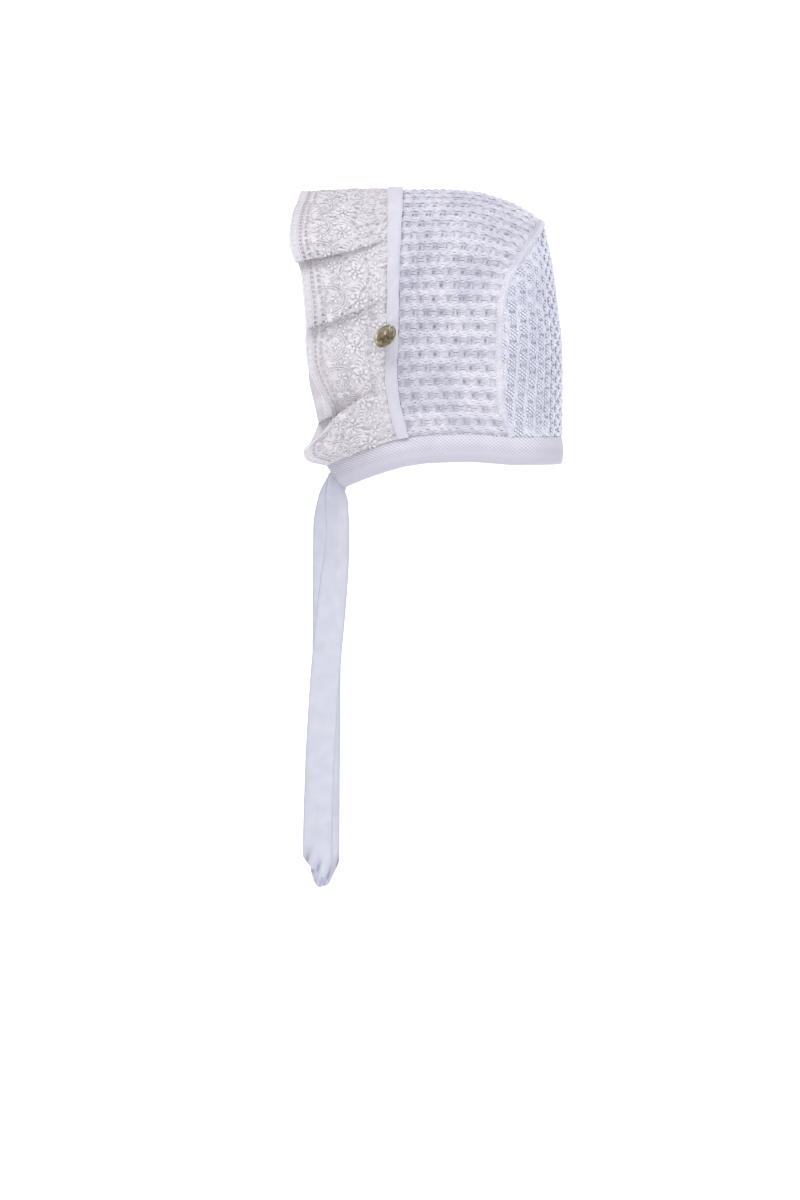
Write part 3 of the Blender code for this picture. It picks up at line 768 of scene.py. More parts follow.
def crown_ground(finish):
    """The knit behind the crown's strands, with its holes cut through."""
    rows = np.concatenate([[-NECK_ROW], np.arange(-NECK_ROW + 0.125, NECK_ROW, 0.25), [NECK_ROW]])
    columns = 75
    station, length = np.zeros((len(rows), columns)), np.zeros((len(rows), columns))
    for i, row in enumerate(rows):
        at, far = row_run(row)
        length[i, 1:] = np.linspace(0, far[-1], columns - 1)
        station[i, 1:] = np.linspace(at[0], at[-1], columns - 1)
        length[i, 0], station[i, 0] = -KNIT_START, GROUND_START
    grid = rows[:, None] + np.zeros_like(station)
    keep = np.ones((len(rows) - 1, columns - 1), bool)
    for j in range(len(rows) - 1):
        middle = (rows[j] + rows[j + 1]) / 2
        if abs(middle - math.floor(middle) - 0.5) > 0.01 or abs(middle) > NECK_ROW - 0.8:
            continue
        far = (length[j, :-1] + length[j, 1:]) / 2
        step = far[2] - far[1]
        centres = (np.arange(0, far[-1] / CELL + 1) + eyelets(math.floor(middle))) * CELL
        centres = centres + rng.normal(0, 0.00045, len(centres))
        wide = np.where(rng.random(len(centres)) < 0.35, 1.02, 0.52) * step
        beside = centres + CELL * np.where(rng.random(len(centres)) < 0.5, -0.27, 0.27)
        beside = beside[rng.random(len(centres)) < 0.55]
        centres = np.concatenate([centres, beside])
        wide = np.concatenate([wide, np.full(len(beside), 0.52 * step)])
        open_here = (np.abs(far[:, None] - centres) < wide).any(axis=1)
        keep[j] = ~(open_here & (far > 0.004) & (far < far[-1] - 0.005))
    wave = 0.00035 * np.cos(2 * math.pi * grid)
    outer = crown(grid, station, 0.0016 - wave)
    inner = crown(grid, station, 0.0026 - wave)
    # Painted shade: the recessed ground is tinted a little towards its shade colour all over, and more round
    # the rims of its holes.
    cloth = np.stack([length, grid * ROW_PITCH, 0.08 + hole_rims(keep) * 0.27], axis=-1)
    shape = Shape()
    add_wall(shape, outer, inner, keep, cloth)
    return shape.made("crown_ground", finish, "knit")


def pad_start(column):
    """The middle of a column's first pad, in pads from the panel's top."""
    start = 0.25 + 0.5 * (column % 2) + 0.08 * np.sin(2.3 * np.abs(column) + 0.7)
    return start + (0.25 + 0.085 * column) * (column > 0)


def panel_knit(finish):
    """The back panel's columns: oval pads of small loops, out of step with their neighbours, and smooth
    strands between."""
    shape = Shape()
    columns = int(PANEL_HALF.max() / COLUMN_PITCH) + 1
    for column in range(-columns, columns + 1):
        wide = column * COLUMN_PITCH
        centres = np.arange(pad_start(column) % 1 - 1, PANEL_DOWN[-1] / PAD + 0.4, 1.0) * PAD
        for centre in centres:
            if panel_half(centre) < abs(wide) - 0.001:
                continue
            ends = np.clip([centre - PAD_REACH, centre + PAD_REACH], 0.0005, PANEL_DOWN[-1] - 0.0004)
            if ends[1] - ends[0] < 0.002:
                continue
            down = np.linspace(*ends, 15)
            s = (down - centre) / PAD_REACH
            for lane in PAD_LANES:
                bulge = np.sqrt(1 - 0.80 * s**2)
                quick = 2 * math.pi * (down / 0.0021) + lane * math.pi
                across = wide + lane * 0.00152 * bulge + 0.00024 * np.sin(quick) + rng.normal(0, 0.00006)
                limit = panel_half(down) - 0.0012
                if (np.abs(across) > limit).mean() > 0.5:
                    continue
                across = np.clip(across, -limit, limit)
                height = 0.00050 + 0.0012 * s**2 + 0.00018 * lane**2 - 0.00020 * np.cos(quick)
                line, ups = panel(across, down, height)[None], panel_up(across, down)[None]
                radius = 0.00066 * (0.82 + 0.34 * np.cos(quick))
                # Painted shade at the narrow waists between each pad's small loops.
                neck_shade = np.clip(-np.cos(quick) * 2.0 - 1.0, 0, 1)[None]
                add_tubes(shape, line, ups, radius, radius, 4, neck_shade)
    for column in range(-columns, columns):
        wide = (column + 0.5) * COLUMN_PITCH
        down = np.arange(0.0, PANEL_DOWN[-1], 0.0012)
        inside = panel_half(down) > abs(wide) + 0.0015
        if inside.sum() < 6:
            continue
        down = down[inside]
        sway = 0.0010 * np.sin(2 * math.pi * (down / PAD - pad_start(column) + 0.25))
        across = wide + sway
        line = panel(across, down, 0.00215 + 0.0002 * np.cos(4 * math.pi * down / PAD))
        add_tubes(shape, line[None], panel_up(across, down)[None], 0.00062, 0.00052, 4)
    return shape.made("back_yarn", finish, "knit")


def panel_ground(finish):
    """The knit behind the back panel's strands, with slots cut through at the ends of many lower pads."""
    down = np.linspace(0, PANEL_DOWN[-1], 123)[:, None]
    share = np.linspace(-1, 1, 121)[None, :]
    wide = share * (panel_half(down) - 0.0004)
    down = down + np.zeros_like(wide)
    centre_down = (down[:-1, :-1] + down[1:, 1:]) / 2
    centre_wide = (wide[:-1, :-1] + wide[1:, 1:] + wide[:-1, 1:] + wide[1:, :-1]) / 4
    column = np.round(centre_wide / COLUMN_PITCH)
    off_wide = np.abs(centre_wide - column * COLUMN_PITCH)
    phase = centre_down / PAD - pad_start(column) - 0.5
    off_down = np.abs(phase - np.round(phase)) * PAD
    edge = panel_half(centre_down) - np.abs(centre_wide)
    low = np.exp(-(((centre_down - 0.098) / 0.030) ** 2))
    slot = (off_wide < 0.0011 + 0.0009 * low) & (off_down < 0.0008 + 0.0004 * low) & (edge > 0.003)
    slot &= np.sin(12.9 * column + 4.1 * np.round(phase)) > -0.3 - 1.2 * low
    slot &= centre_down > 0.045
    slot &= centre_down < PANEL_DOWN[-1] - 0.004
    swell = 0.0003 * np.cos(2 * math.pi * wide / COLUMN_PITCH)
    outer, inner = panel(wide, down, 0.0016 - swell), panel(wide, down, 0.0025 - swell)
    shape = Shape()
    # Painted shade: the recessed ground is tinted towards its shade colour all over, and much more round the
    # rims of its slots.
    add_wall(shape, outer, inner, ~slot, np.stack([wide, down, 0.16 + hole_rims(~slot) * 0.74], axis=-1))
    return shape.made("back_ground", finish, "knit")


def seam(finish):
    """The seam between the crown and the back panel: two plump strands over a flat ridge."""
    half = 260
    place, side = both_sides(np.linspace(0, 1, half), 1), both_sides(np.ones(half), -1)
    line = on_side(hoop(1.0, place), side)
    row = np.interp(place, FINE, ROW_ARC) / ROW_PITCH * side
    behind = back(0.94 * side, place) - back(0.94 * side * 0.98, place)
    along = unit(np.gradient(line, axis=0))
    up = crown_up(row, np.full(len(row), 0.97))
    other = np.cross(along, unit(behind))
    up = unit(up + other * np.sign((other * up).sum(-1, keepdims=True)))
    sideways = unit(np.cross(along, up))
    shape = Shape()
    far = lengths_along(line)
    add_tubes(shape, (line - up * 0.0014)[None], up[None], 0.0027, 0.0011, 12, 0.1)
    for lane, lean in ((-0.5, 1), (0.5, -1)):
        at = np.arange(0.002, far[-1] - 0.002, 0.0021) + 0.0005 * lane
        at = at[:, None] + np.linspace(-1, 1, 6)[None, :] * 0.0011
        share = np.linspace(-1, 1, 6)[None, :]
        place, over, out = (along_path(at, far, v) for v in (line, sideways, up))
        shift = (lane * 0.0022 + lean * share * 0.0009)[..., None] + np.zeros_like(place[..., :1])
        strand = place + over * shift - out * (0.0004 + 0.0006 * share[..., None] ** 2)
        add_tubes(shape, strand, unit(out), 0.00062, 0.00050, 4, rng.random(len(at)))
    return shape.made("seam_yarn", finish, "knit")


def neck_band(finish):
    """The fine-knit band round the neck, its small stitches raised in brick order."""
    half = 320
    run = even_runs(half)
    rows = 32
    drop = np.linspace(-0.02, 1, rows)
    edge = np.clip(1 - np.abs(2 * drop - 1), 0, 1)
    round_in = np.where(drop < 0.5, 0.0004, 0.0009) * np.exp(-edge * BAND_HEIGHT / 2 / 0.0011)
    far = lengths_along(neck_edge(run))
    across = drop * BAND_HEIGHT
    lane, tall = far[:, None] / STITCH_WIDE, across[None, :] / STITCH_TALL
    pits = np.zeros((half, rows))
    for shift in (0.0, 0.5):
        off_lane = (lane - shift - np.round(lane - shift)) * STITCH_WIDE
        off_tall = (tall - shift - np.round(tall - shift)) * STITCH_TALL
        pits = np.maximum(pits, np.exp(-((off_lane / 0.00062) ** 2 + (off_tall / 0.00050) ** 2)))
    pits = pits * (1 - 0.8 * np.clip((drop - 0.5) / 0.2, 0, 1))[None, :]
    outer = band(run[:, None], drop[None, :], round_in[None, :] + 0.0002 + 0.00060 * pits)
    inner = band(run[:, None], drop[None, ::-1], BAND_WALL - round_in[None, ::-1])
    ring = np.concatenate([outer, inner], axis=1)
    ring, far = both_sides(ring), both_sides(far, -1)
    over = np.concatenate([across, 2 * BAND_HEIGHT - across[::-1]])
    # The pit marks also carry painted shade, darker the deeper each stitch pit.
    pits = np.pad(both_sides(pits, 1), ((0, 0), (0, rows)))
    cloth = np.stack(np.broadcast_arrays(far[:, None], over[None, :], pits), axis=-1)
    faces = grid_faces(len(ring), 2 * rows, wrap=True).reshape(-1, 4)
    j = np.arange(rows - 1)
    cap = np.stack([j, j + 1, 2 * rows - 2 - j, 2 * rows - 1 - j], axis=-1)
    faces = np.concatenate([faces, cap[:, ::-1], cap + (len(ring) - 1) * 2 * rows])
    shape = Shape()
    shape.add(ring, faces, cloth)
    return shape.made("neck_band_knit", finish, "fine_knit", 80)


def face_tape(finish):
    """The cotton tape over the joint of lace and knit, with a row of stitches along each edge."""
    place = np.linspace(0, 1 - GAP / HALF_HOOP, 200)[:, None]
    along = np.linspace(-TAPE_LAP, TAPE_WIDTH - TAPE_LAP, 15)[None, :]
    _, _, out = face_frame(place + np.zeros_like(along))
    skin = hoop(np.clip(along, 0, None) / (CROWN_DEPTH * SEAM_TOP), place)
    skin[..., 0] += np.minimum(along, 0)
    far = lengths_along(skin[:, 7])[:, None]
    t = (along + TAPE_LAP) / TAPE_WIDTH
    skin[..., 0] += 0.00018 * np.sin(far * 2 * math.pi / 0.023) * np.cos(math.pi * t)
    soft = 0.00010 * np.sin(far * 2 * math.pi / 0.017 + 5 * t)
    soft = soft + 0.00007 * np.sin(far * 2 * math.pi / 0.0061 + 9 * t)
    edge = 0.00042 * np.exp(-np.minimum(t, 1 - t) * TAPE_WIDTH / 0.0005)
    stitch_dip = 0.00016 * np.exp(-(((np.minimum(t, 1 - t) * TAPE_WIDTH - 0.0011) / 0.0005) ** 2))
    height = GAP + TAPE_WALL + soft - edge - stitch_dip
    outer, low = skin + out * height[..., None], skin + out * (GAP * 0.9)
    outer, low, far = both_sides(outer), both_sides(low), both_sides(far, -1)
    cloth = np.stack(np.broadcast_arrays(far, along, 0.0), axis=-1)
    shape = Shape()
    add_wall(shape, outer, low, None, cloth)
    lines, ups = [], []
    for column in (1.6, 12.4):
        a = int(column)
        path = outer[:, a] * (1 - column + a) + outer[:, a + 1] * (column - a)
        route = lengths_along(path)
        starts = np.arange(0.003, route[-1] - 0.003, 0.0023)
        s = np.linspace(-1, 1, 6)
        at = starts[:, None] + s[None, :] * 0.00082
        up = unit(along_path(at, route, both_sides(out[:, 7])))
        lines.append(along_path(at, route, path) + up * (0.00010 - 0.00028 * s[None, :, None] ** 2))
        ups.append(up)
    add_tubes(shape, np.concatenate(lines), np.concatenate(ups), 0.00017, 0.00015, 4)
    return shape.made("tape_cloth", finish, "cotton_tape")


# Lace


def lace(place, reach, height=0.0):
    """Points of the ruffle, place from -1 (the -Y end) to 1, height out from the cloth."""
    place, reach = np.broadcast_arrays(np.asarray(place, float), np.asarray(reach, float))
    points = pleated(np.clip(np.abs(place), 0, 1), np.clip(reach, 0, 1.02))
    curl = (np.interp(-place, CURL_PLACES, CURL_SHARES) * np.clip(reach, 0, 1) ** 2.5)[..., None]
    _, _, out = face_frame(np.clip(np.abs(place), 0, 1))
    points = points + curl * (np.array([CURL_BACK, 0.0, 0.0]) - out * CURL_IN)
    points = on_side(points, np.sign(place))
    if np.any(height):
        points = points + lace_up(place, reach) * np.asarray(height)[..., None]
    return points


def lace_up(place, reach):
    """The ruffle's outward normals."""
    step = 0.004
    low, high = np.clip(place - step, -1, 1), np.clip(place + step, -1, 1)
    down = lace(high, reach) - lace(low, reach)
    ahead = lace(place, np.clip(reach + 0.01, 0, 1)) - lace(place, np.clip(reach - 0.01, 0, 1))
    return unit(np.cross(down, ahead))


def pleat(t, lip):
    """A fold's rise out from the lace and its shift along the face edge, both 0 to 1, at t from its start (0)
    to its end (1). With lip 1 it hangs over the fold after it, with -1 over the one before, with 0 over
    neither."""
    t = np.clip(t, 0, 1)
    even = (1 - np.cos(2 * math.pi * t)) / 2
    if not lip:
        return even, even
    t = t if lip > 0 else 1 - t
    up, fall = np.clip(t / PLEAT_LIP, 0, 1), np.clip((t - PLEAT_LIP) / (1 - PLEAT_LIP), 0, 1)
    rise = np.sin(up * math.pi / 2) ** 1.1 * (1 - fall**2 * (3 - 2 * fall))
    shift = up**2 * (3 - 2 * up) * (1 - fall**2 * (3 - 2 * fall))
    return rise, shift


def pleated(place, reach):
    """Points of the lace with its folds laid over one another: place along the half hoop (0 to 1), reach from
    the tape (0) to the free edge (1)."""
    place, reach = np.broadcast_arrays(np.asarray(place, float), np.asarray(reach, float))
    start, down, out = face_frame(place)
    tilt, flare = (np.radians(read(RUFFLE_RUN, name, place))[..., None] for name in ("tilt", "flare"))
    ahead = np.array([-1.0, 0.0, 0.0]) * np.cos(tilt) + down * np.sin(tilt)
    ahead = ahead * np.cos(flare) + out * np.sin(flare)
    length = LACE_WIDTH * read(RUFFLE_RUN, "reach", place)
    crest, lean = np.zeros_like(place), np.zeros_like(place)
    for fold in PLEATS:
        width = fold.end - fold.start
        rise, shift = pleat((place - fold.start) / width, fold.lip)
        crest = crest + fold.rise * RUFFLE_WAVE * rise
        lean = lean + (fold.shift if fold.lip >= 0 else -fold.shift) * width * HALF_HOOP * shift
    free = np.clip(reach - TAPE_LAP / LACE_WIDTH, 0, 1)
    crest, lean = crest * free**PLEAT_RISE, lean * free**PLEAT_SHIFT
    points = start + ahead * (length * reach)[..., None] + out * crest[..., None] + down * lean[..., None]
    points[..., 0] -= GAP
    points[..., 2] -= read(RUFFLE_RUN, "droop", place) * LACE_WIDTH * reach**2
    return points


LACE_FINE = np.linspace(-1, 1, 1601)


def lace_row(from_edge):
    """Along the lace at a distance from its free edge: the length of the row there, and functions from
    lengths along it to place and to reach."""
    long = LACE_WIDTH * read(RUFFLE_RUN, "reach", np.abs(LACE_FINE))
    reach = 1 - from_edge / long
    far = lengths_along(lace(LACE_FINE, reach))
    return far[-1], lambda a: np.interp(a, far, LACE_FINE), lambda a: np.interp(a, far, reach)


def lace_spots(from_edge, pitch, start=0.5):
    """Places and reaches of evenly spaced motifs along the lace, at a distance from its free edge."""
    total, place_at, reach_at = lace_row(from_edge)
    count = int(round(total / pitch))
    a = (np.arange(count) + start) * total / count
    a = a[a < total - 0.002]
    return place_at(a), reach_at(a)


NET_COLUMNS, NET_ROWS = 521, 51
_length, _place_at, _ = lace_row(0.006)
NET_ALONG = np.linspace(0, _length, NET_COLUMNS)
NET_PLACE = _place_at(NET_ALONG)
NET_KEPT = np.ones((NET_COLUMNS - 1, NET_ROWS - 1), bool)


def opened(places, reaches):
    """Cuts a hole through the net at each place with none beside it, and gives the middles of the places."""
    columns = np.clip(np.searchsorted(NET_PLACE, places) - 1, 4, NET_COLUMNS - 6)
    rows = np.clip((reaches * (NET_ROWS - 1)).astype(int), 2, NET_ROWS - 4)
    for i, j in zip(columns, rows):
        NET_KEPT[i, j] = not NET_KEPT[i - 1 : i + 2, j - 1 : j + 2].all()
    return (NET_PLACE[columns] + NET_PLACE[columns + 1]) / 2, (rows + 0.5) / (NET_ROWS - 1)


def lace_ground(finish):
    """The net of the lace, with its holes and a row of small eyelets along its free edge."""
    place, reach = np.broadcast_arrays(NET_PLACE[:, None], np.linspace(0, 1, NET_ROWS)[None, :])
    far = np.broadcast_to(NET_ALONG[:, None], place.shape)
    edge = (1 - reach) * LACE_WIDTH
    hem = 0.00018 * (edge < 0.0052)
    gather = 0.00045 * np.sin(2 * math.pi * far / 0.0083 + 2.0 * np.sin(far / 0.013))
    gather = gather * np.exp(-reach * LACE_WIDTH / 0.009)
    fine = 0.00012 * np.sin(2 * math.pi * far / 0.0043) * np.exp(-edge / 0.006) + gather
    up = lace_up(place, reach)
    middle = lace(place, reach)
    outer = middle + up * (hem + fine)[..., None]
    inner = middle - up * (LACE_GROUND - fine)[..., None]
    keep = NET_KEPT.copy()
    keep[4:-4:3, NET_ROWS - 7] = False
    shape = Shape()
    # The mark: the edging's tone, partly painted shade, near the free edge, and painted shade round the
    # holes' rims.
    edging_and_shade = np.clip((0.0055 - edge) / 0.0012, 0, 1)
    edging_and_shade = np.where(hole_rims(keep), np.where(edge < 0.0085, -0.75, -0.45), edging_and_shade)
    cloth = np.stack([far, reach * LACE_WIDTH, edging_and_shade], axis=-1)
    add_wall(shape, outer, inner, keep, cloth)
    return shape.made("lace_net", finish, "lace")


def circle(radius, count=13, start=0.0, turn=2 * math.pi):
    """The line of a circle or arc in the cloth's plane."""
    a = start + np.linspace(0, turn, count)
    return np.stack([radius * np.cos(a), radius * np.sin(a)], axis=-1)


def leaf(length, angle, at=(0.0, 0.0), bend=0.0, count=7):
    """The line of a leaf or petal in the cloth's plane: along the edge first, then towards the free edge."""
    s = np.linspace(0, 1, count)
    a = angle + bend * s
    step = np.stack([np.cos(a), np.sin(a)], axis=-1) * length / (count - 1)
    return np.array(at) + np.concatenate([[[0.0, 0.0]], np.cumsum(step[:-1], axis=0)])


def stamp(shape, places, reaches, line, wide, high, turn=0.0, lift=0.0, sides=6):
    """A motif's tube laid on the lace at each place, true to its flat size."""
    places, reaches = places[:, None], reaches[:, None]
    turn = np.broadcast_to(turn, (len(places),))
    step = 0.002
    side = lace(np.clip(places + step, -1, 1), reaches) - lace(np.clip(places - step, -1, 1), reaches)
    side = side / (2 * step)
    ahead = (lace(places, reaches + step) - lace(places, reaches - step)) / (2 * step)
    forward = unit(ahead)
    gamma = np.linalg.norm(ahead, axis=-1)
    beta = (side * forward).sum(-1)
    alpha = np.linalg.norm(side - forward * beta[..., None], axis=-1)
    c, s = np.cos(turn)[:, None], np.sin(turn)[:, None]
    x = line[None, :, 0] * c - line[None, :, 1] * s
    y = line[None, :, 0] * s + line[None, :, 1] * c
    over = x / np.maximum(alpha, 0.02)
    place = np.clip(places + over, -0.999, 0.999)
    reach = np.clip(reaches + (y - beta * over) / gamma, 0.03, 0.985)
    points = lace(place, reach, np.full(place.shape, 0.0001 + lift))
    add_tubes(shape, points, lace_up(place, reach), wide, high, sides, rng.random(len(points)))


def lace_cords(finish):
    """Corded outlines and petals: an edging, scallops, roses, leaf sprays and small rings, row by row."""
    shape = Shape()
    cord = 0.00042
    petal = np.sin(math.pi * np.clip(np.linspace(0, 1, 7), 0.04, 0.96)) ** 0.7

    def long_cord(from_edge, wide, high, wave=0.0):
        total, place_at, reach_at = lace_row(from_edge)
        a = np.linspace(0.002, total - 0.002, int(total / 0.0013))
        place = place_at(a)
        reach = reach_at(a) + wave / LACE_WIDTH * np.sin(2 * math.pi * a / 0.0031)
        points = lace(place, reach, np.full(place.shape, 0.0002))
        add_tubes(shape, points[None], lace_up(place, reach)[None], wide, high, 6)

    def ring(spots, radius, count, wide, high):
        stamp(shape, *spots, circle(radius, count), wide, high, sides=4)

    def leaves(spots, length, angle, at, wide, high, turn=0.0, bend=0.0, lift=0.0):
        line = leaf(length, angle, at, bend)
        stamp(shape, *spots, line, wide * petal, high * petal + 0.0001, turn, lift)

    def around(angle, far, tall=1.0):
        return far * np.array([math.cos(angle), tall * math.sin(angle)])

    long_cord(0.0006, 0.00055, 0.00050)
    ring(lace_spots(0.0028, 0.0034), 0.00095, 9, 0.00030, 0.00030)
    long_cord(0.0050, 0.00036, 0.00036)
    long_cord(0.0078, 0.00034, 0.00034, 0.00018)
    ring(opened(*lace_spots(0.0108, 0.0036)), 0.00115, 11, 0.00032, 0.00040)

    pitch = 0.0215
    spots = lace_spots(0.0145, pitch)
    for grow in (1.0, 0.84):
        arch = circle(0.0095 * grow, 21, math.pi * 1.02, math.pi * 0.96) * np.array([1.0, 1.25])
        stamp(shape, *spots, arch, cord, cord, lift=0.0001)
    for k in range(7):
        angle = math.pi * (1.10 + 0.80 * k / 6)
        leaves(spots, 0.0031, angle, around(angle, 0.0102, 1.25), 0.00115, 0.00055)
    middle = np.array([0.0, -0.0052])
    for k in range(5):
        angle = 2 * math.pi * k / 5 + 0.3
        leaves(spots, 0.0026, angle, around(angle, 0.0008) + middle, 0.00120, 0.00060)
    stamp(shape, *spots, circle(0.0006, 9) + middle, 0.0003, 0.0004)

    spots = lace_spots(0.0150, pitch, 0.0)
    for length, angle in ((0.0046, -1.57), (0.0038, -2.3), (0.0038, -0.84), (0.0028, -2.9), (0.0028, -0.24)):
        leaves(spots, length, angle, (0.0, 0.0012), 0.00110, 0.00055)
    stamp(shape, *spots, circle(0.0010, 11) + np.array([0.0, 0.0026]), 0.00032, 0.00036)

    spots = lace_spots(0.0335, 0.0185, 0.25)
    turns = rng.uniform(0, 6.28, len(spots[0]))
    petals = (0, 5, 0.0008, 0.0024, 0.00120, 0.0003), (0.4, 7, 0.0026, 0.0034, 0.00165, 0.0)
    for first, count, at, length, wide, lift in petals:
        for k in range(count):
            angle = 2 * math.pi * k / count + first
            leaves(spots, length, angle + 0.25, around(angle, at), wide, 0.00060, turns, 0.5, lift)
    stamp(shape, *spots, circle(0.0007, 9), 0.00032, 0.00045, turns, 0.0004)

    spots = lace_spots(0.0345, 0.0185, 0.75)
    lean = rng.uniform(-0.5, 0.5, len(spots[0]))
    stem = leaf(0.0130, 1.9, (0.0022, -0.0062), 0.9, 13)
    stamp(shape, *spots, stem, 0.00030, 0.00034, lean)
    for k in range(2, 11, 2):
        for hand in (-1, 1):
            leaves(spots, 0.0031, 1.9 + 0.9 * k / 12 + hand * 0.85, stem[k], 0.00100, 0.00050, lean)

    spots = lace_spots(0.0460, 0.0098, 0.4)
    turns = rng.uniform(0, 6.28, len(spots[0]))
    for k in range(4):
        angle = 2 * math.pi * k / 4
        leaves(spots, 0.0027, angle, around(angle, 0.0007), 0.00125, 0.00055, turns)
    ring(opened(*lace_spots(0.0255, 0.0052, 0.1)), 0.0009, 9, 0.00032, 0.00040)
    ring(opened(*lace_spots(0.0410, 0.0056, 0.3)), 0.0008, 9, 0.00030, 0.00038)
    return shape.made("lace_cords", finish, "lace")


MOTIF_ROWS = (  # from the free edge, pitch, start, and how far the motif reaches from its middle
    (0.0190, 0.0215, 0.5, 0.0030),
    (0.0165, 0.0215, 0.0, 0.0036),
    (0.0335, 0.0185, 0.25, 0.0058),
    (0.0345, 0.0185, 0.75, 0.0030),
    (0.0460, 0.0098, 0.4, 0.0032),
)


def scattered(taken, tries, room):
    """Places in the lace that keep clear of those taken and of one another, and then all that are taken."""
    total, place_at, _ = lace_row(0.025)
    place = place_at(rng.uniform(0.002, total - 0.002, tries))
    long = LACE_WIDTH * read(RUFFLE_RUN, "reach", np.abs(place))
    reach = rng.uniform(0.06, 1, tries) * (1 - 0.0118 / long)
    near = np.zeros((len(taken) + tries, 4))
    near[: len(taken)] = taken
    count = len(taken)
    chosen = []
    for k, spot in enumerate(lace(place, reach)):
        apart = ((near[:count, :3] - spot) ** 2).sum(-1)
        if (apart > (near[:count, 3] + room) ** 2).all():
            near[count] = (*spot, room)
            count += 1
            chosen.append(k)
    return place[chosen], reach[chosen], near[:count]


def lace_fillings(finish):
    """Small leaves, rings and bars, evenly scattered between the lace's motifs, with holes among them."""
    taken = []
    for *where, reach_out in MOTIF_ROWS:
        taken += [(*p, reach_out) for p in lace(*lace_spots(*where))]
    place, reach, taken = scattered(np.array(taken), 9000, FILLING)
    turns = rng.uniform(0, 2 * math.pi, len(place))
    small = np.sin(math.pi * np.clip(np.linspace(0, 1, 5), 0.05, 0.95)) ** 0.7
    shape = Shape()
    kinds = rng.integers(0, 4, len(place))
    for kind in range(4):
        these = kinds == kind
        at, turn = (place[these], reach[these]), turns[these]
        if kind == 0:
            for hand in (-0.6, 0.6):
                petal = leaf(0.0026, hand, (-0.0012, 0.0), 0, 5)
                stamp(shape, *at, petal, 0.00085 * small, 0.0005 * small, turn, sides=4)
        elif kind == 1:
            stamp(shape, *opened(*at), circle(0.00095, 8), 0.00032, 0.00042, turn, sides=4)
        elif kind == 2:
            petal = leaf(0.0030, 0.0, (-0.0015, 0.0), 0.9, 5)
            stamp(shape, *at, petal, 0.00100 * small, 0.0006 * small, turn, sides=4)
        else:
            stamp(shape, *at, leaf(0.0040, 0.0, (-0.0020, 0.0), 1.6, 6), 0.00034, 0.00038, turn, sides=4)
    opened(*scattered(taken, 12000, HOLE)[:2])
    return shape.made("lace_fillings", finish, "lace")


# Ties


def hanging_tie(name, table, length, side, finish):
    """A cotton tie with a soft lengthwise fold and a puckered, turned hem at its end."""
    rows, columns = 190, 21
    drop = np.linspace(0, 1, rows)[:, None] ** 1.1
    share = np.linspace(-1, 1, columns)[None, :]
    across = 0.5 * share + 0.5 * np.sin(share * math.pi / 2)
    down = drop * length
    from_fold = across - 0.18 * side + 0.10 * np.sin(down / 0.06)
    fold = 0.00055 * np.exp(-((from_fold / 0.16) ** 2)) * np.exp(-down / 0.16)
    roll = 0.00025 * np.sin(down / 0.031 + 2.0 * across) + 0.00012 * np.sin(down / 0.0115 - 3 * across)
    gather = 0.00050 * np.sin(across * 9.0) * np.exp(-down / 0.008)
    hem_at = (length - down) / 0.0075
    puckers = np.sin(across * 8.5 + 2.2 * side + 1.9 * hem_at)
    pucker = 0.0018 * puckers * np.exp(-(hem_at**2) / 1.8)
    hem = 0.00034 / (1 + np.exp((hem_at - 1) * 14)) - 0.00030 * np.exp(-(((hem_at - 1.12) / 0.16) ** 2))
    lip = np.minimum(1 - np.abs(across), 1.0) * TIE_WIDTH / 2
    thick = TIE_WALL / 2 - 0.00028 * np.exp(-lip / 0.0005)
    lift = fold + roll + gather + pucker
    outer = tie(table, length, drop, across, side, -thick - lift - hem)
    inner = tie(table, length, drop, across, side, thick - lift)
    # Painted shade: darker in the hem's pucker valleys, along the tie's edges (most at the top of its front
    # edge, where one tie lies over the other) and at its top under the band.
    crease_shade = np.clip(-puckers * 2 - 1, 0, 1) * np.exp(-(((hem_at - 0.5) / 0.8) ** 2))
    shade = 0.45 + 0.50 * np.exp(-down / 0.07) * (across > 0)
    crease_shade = np.maximum(crease_shade, shade * np.exp(-((lip / 0.0007) ** 2)))
    crease_shade = np.maximum(crease_shade, 0.6 * np.exp(-down / 0.004))
    cloth = np.stack(np.broadcast_arrays(down, across * TIE_WIDTH / 2, crease_shade), axis=-1)
    shape = Shape()
    add_wall(shape, outer, inner, None, cloth)
    return shape.made(name, finish, "cotton_tape", 60)


# Button


def button_frame():
    """The button's centre and its axes: along the line through its hole, across, and its face normal."""
    start, _, out = face_frame(np.array(BUTTON_PLACE))
    seat = (start + out * (GAP + TAPE_WALL)) * MIRROR
    ahead = np.array([-TAPE_LAP - BUTTON_AHEAD, 0.0, 0.0])
    face = unit(np.array([-0.557, -0.695, 0.456]))
    along = unit(np.array([0.633, 0.0, 0.774]))
    return seat + ahead + out * MIRROR * BUTTON_STANDOFF, along, np.cross(face, along), face


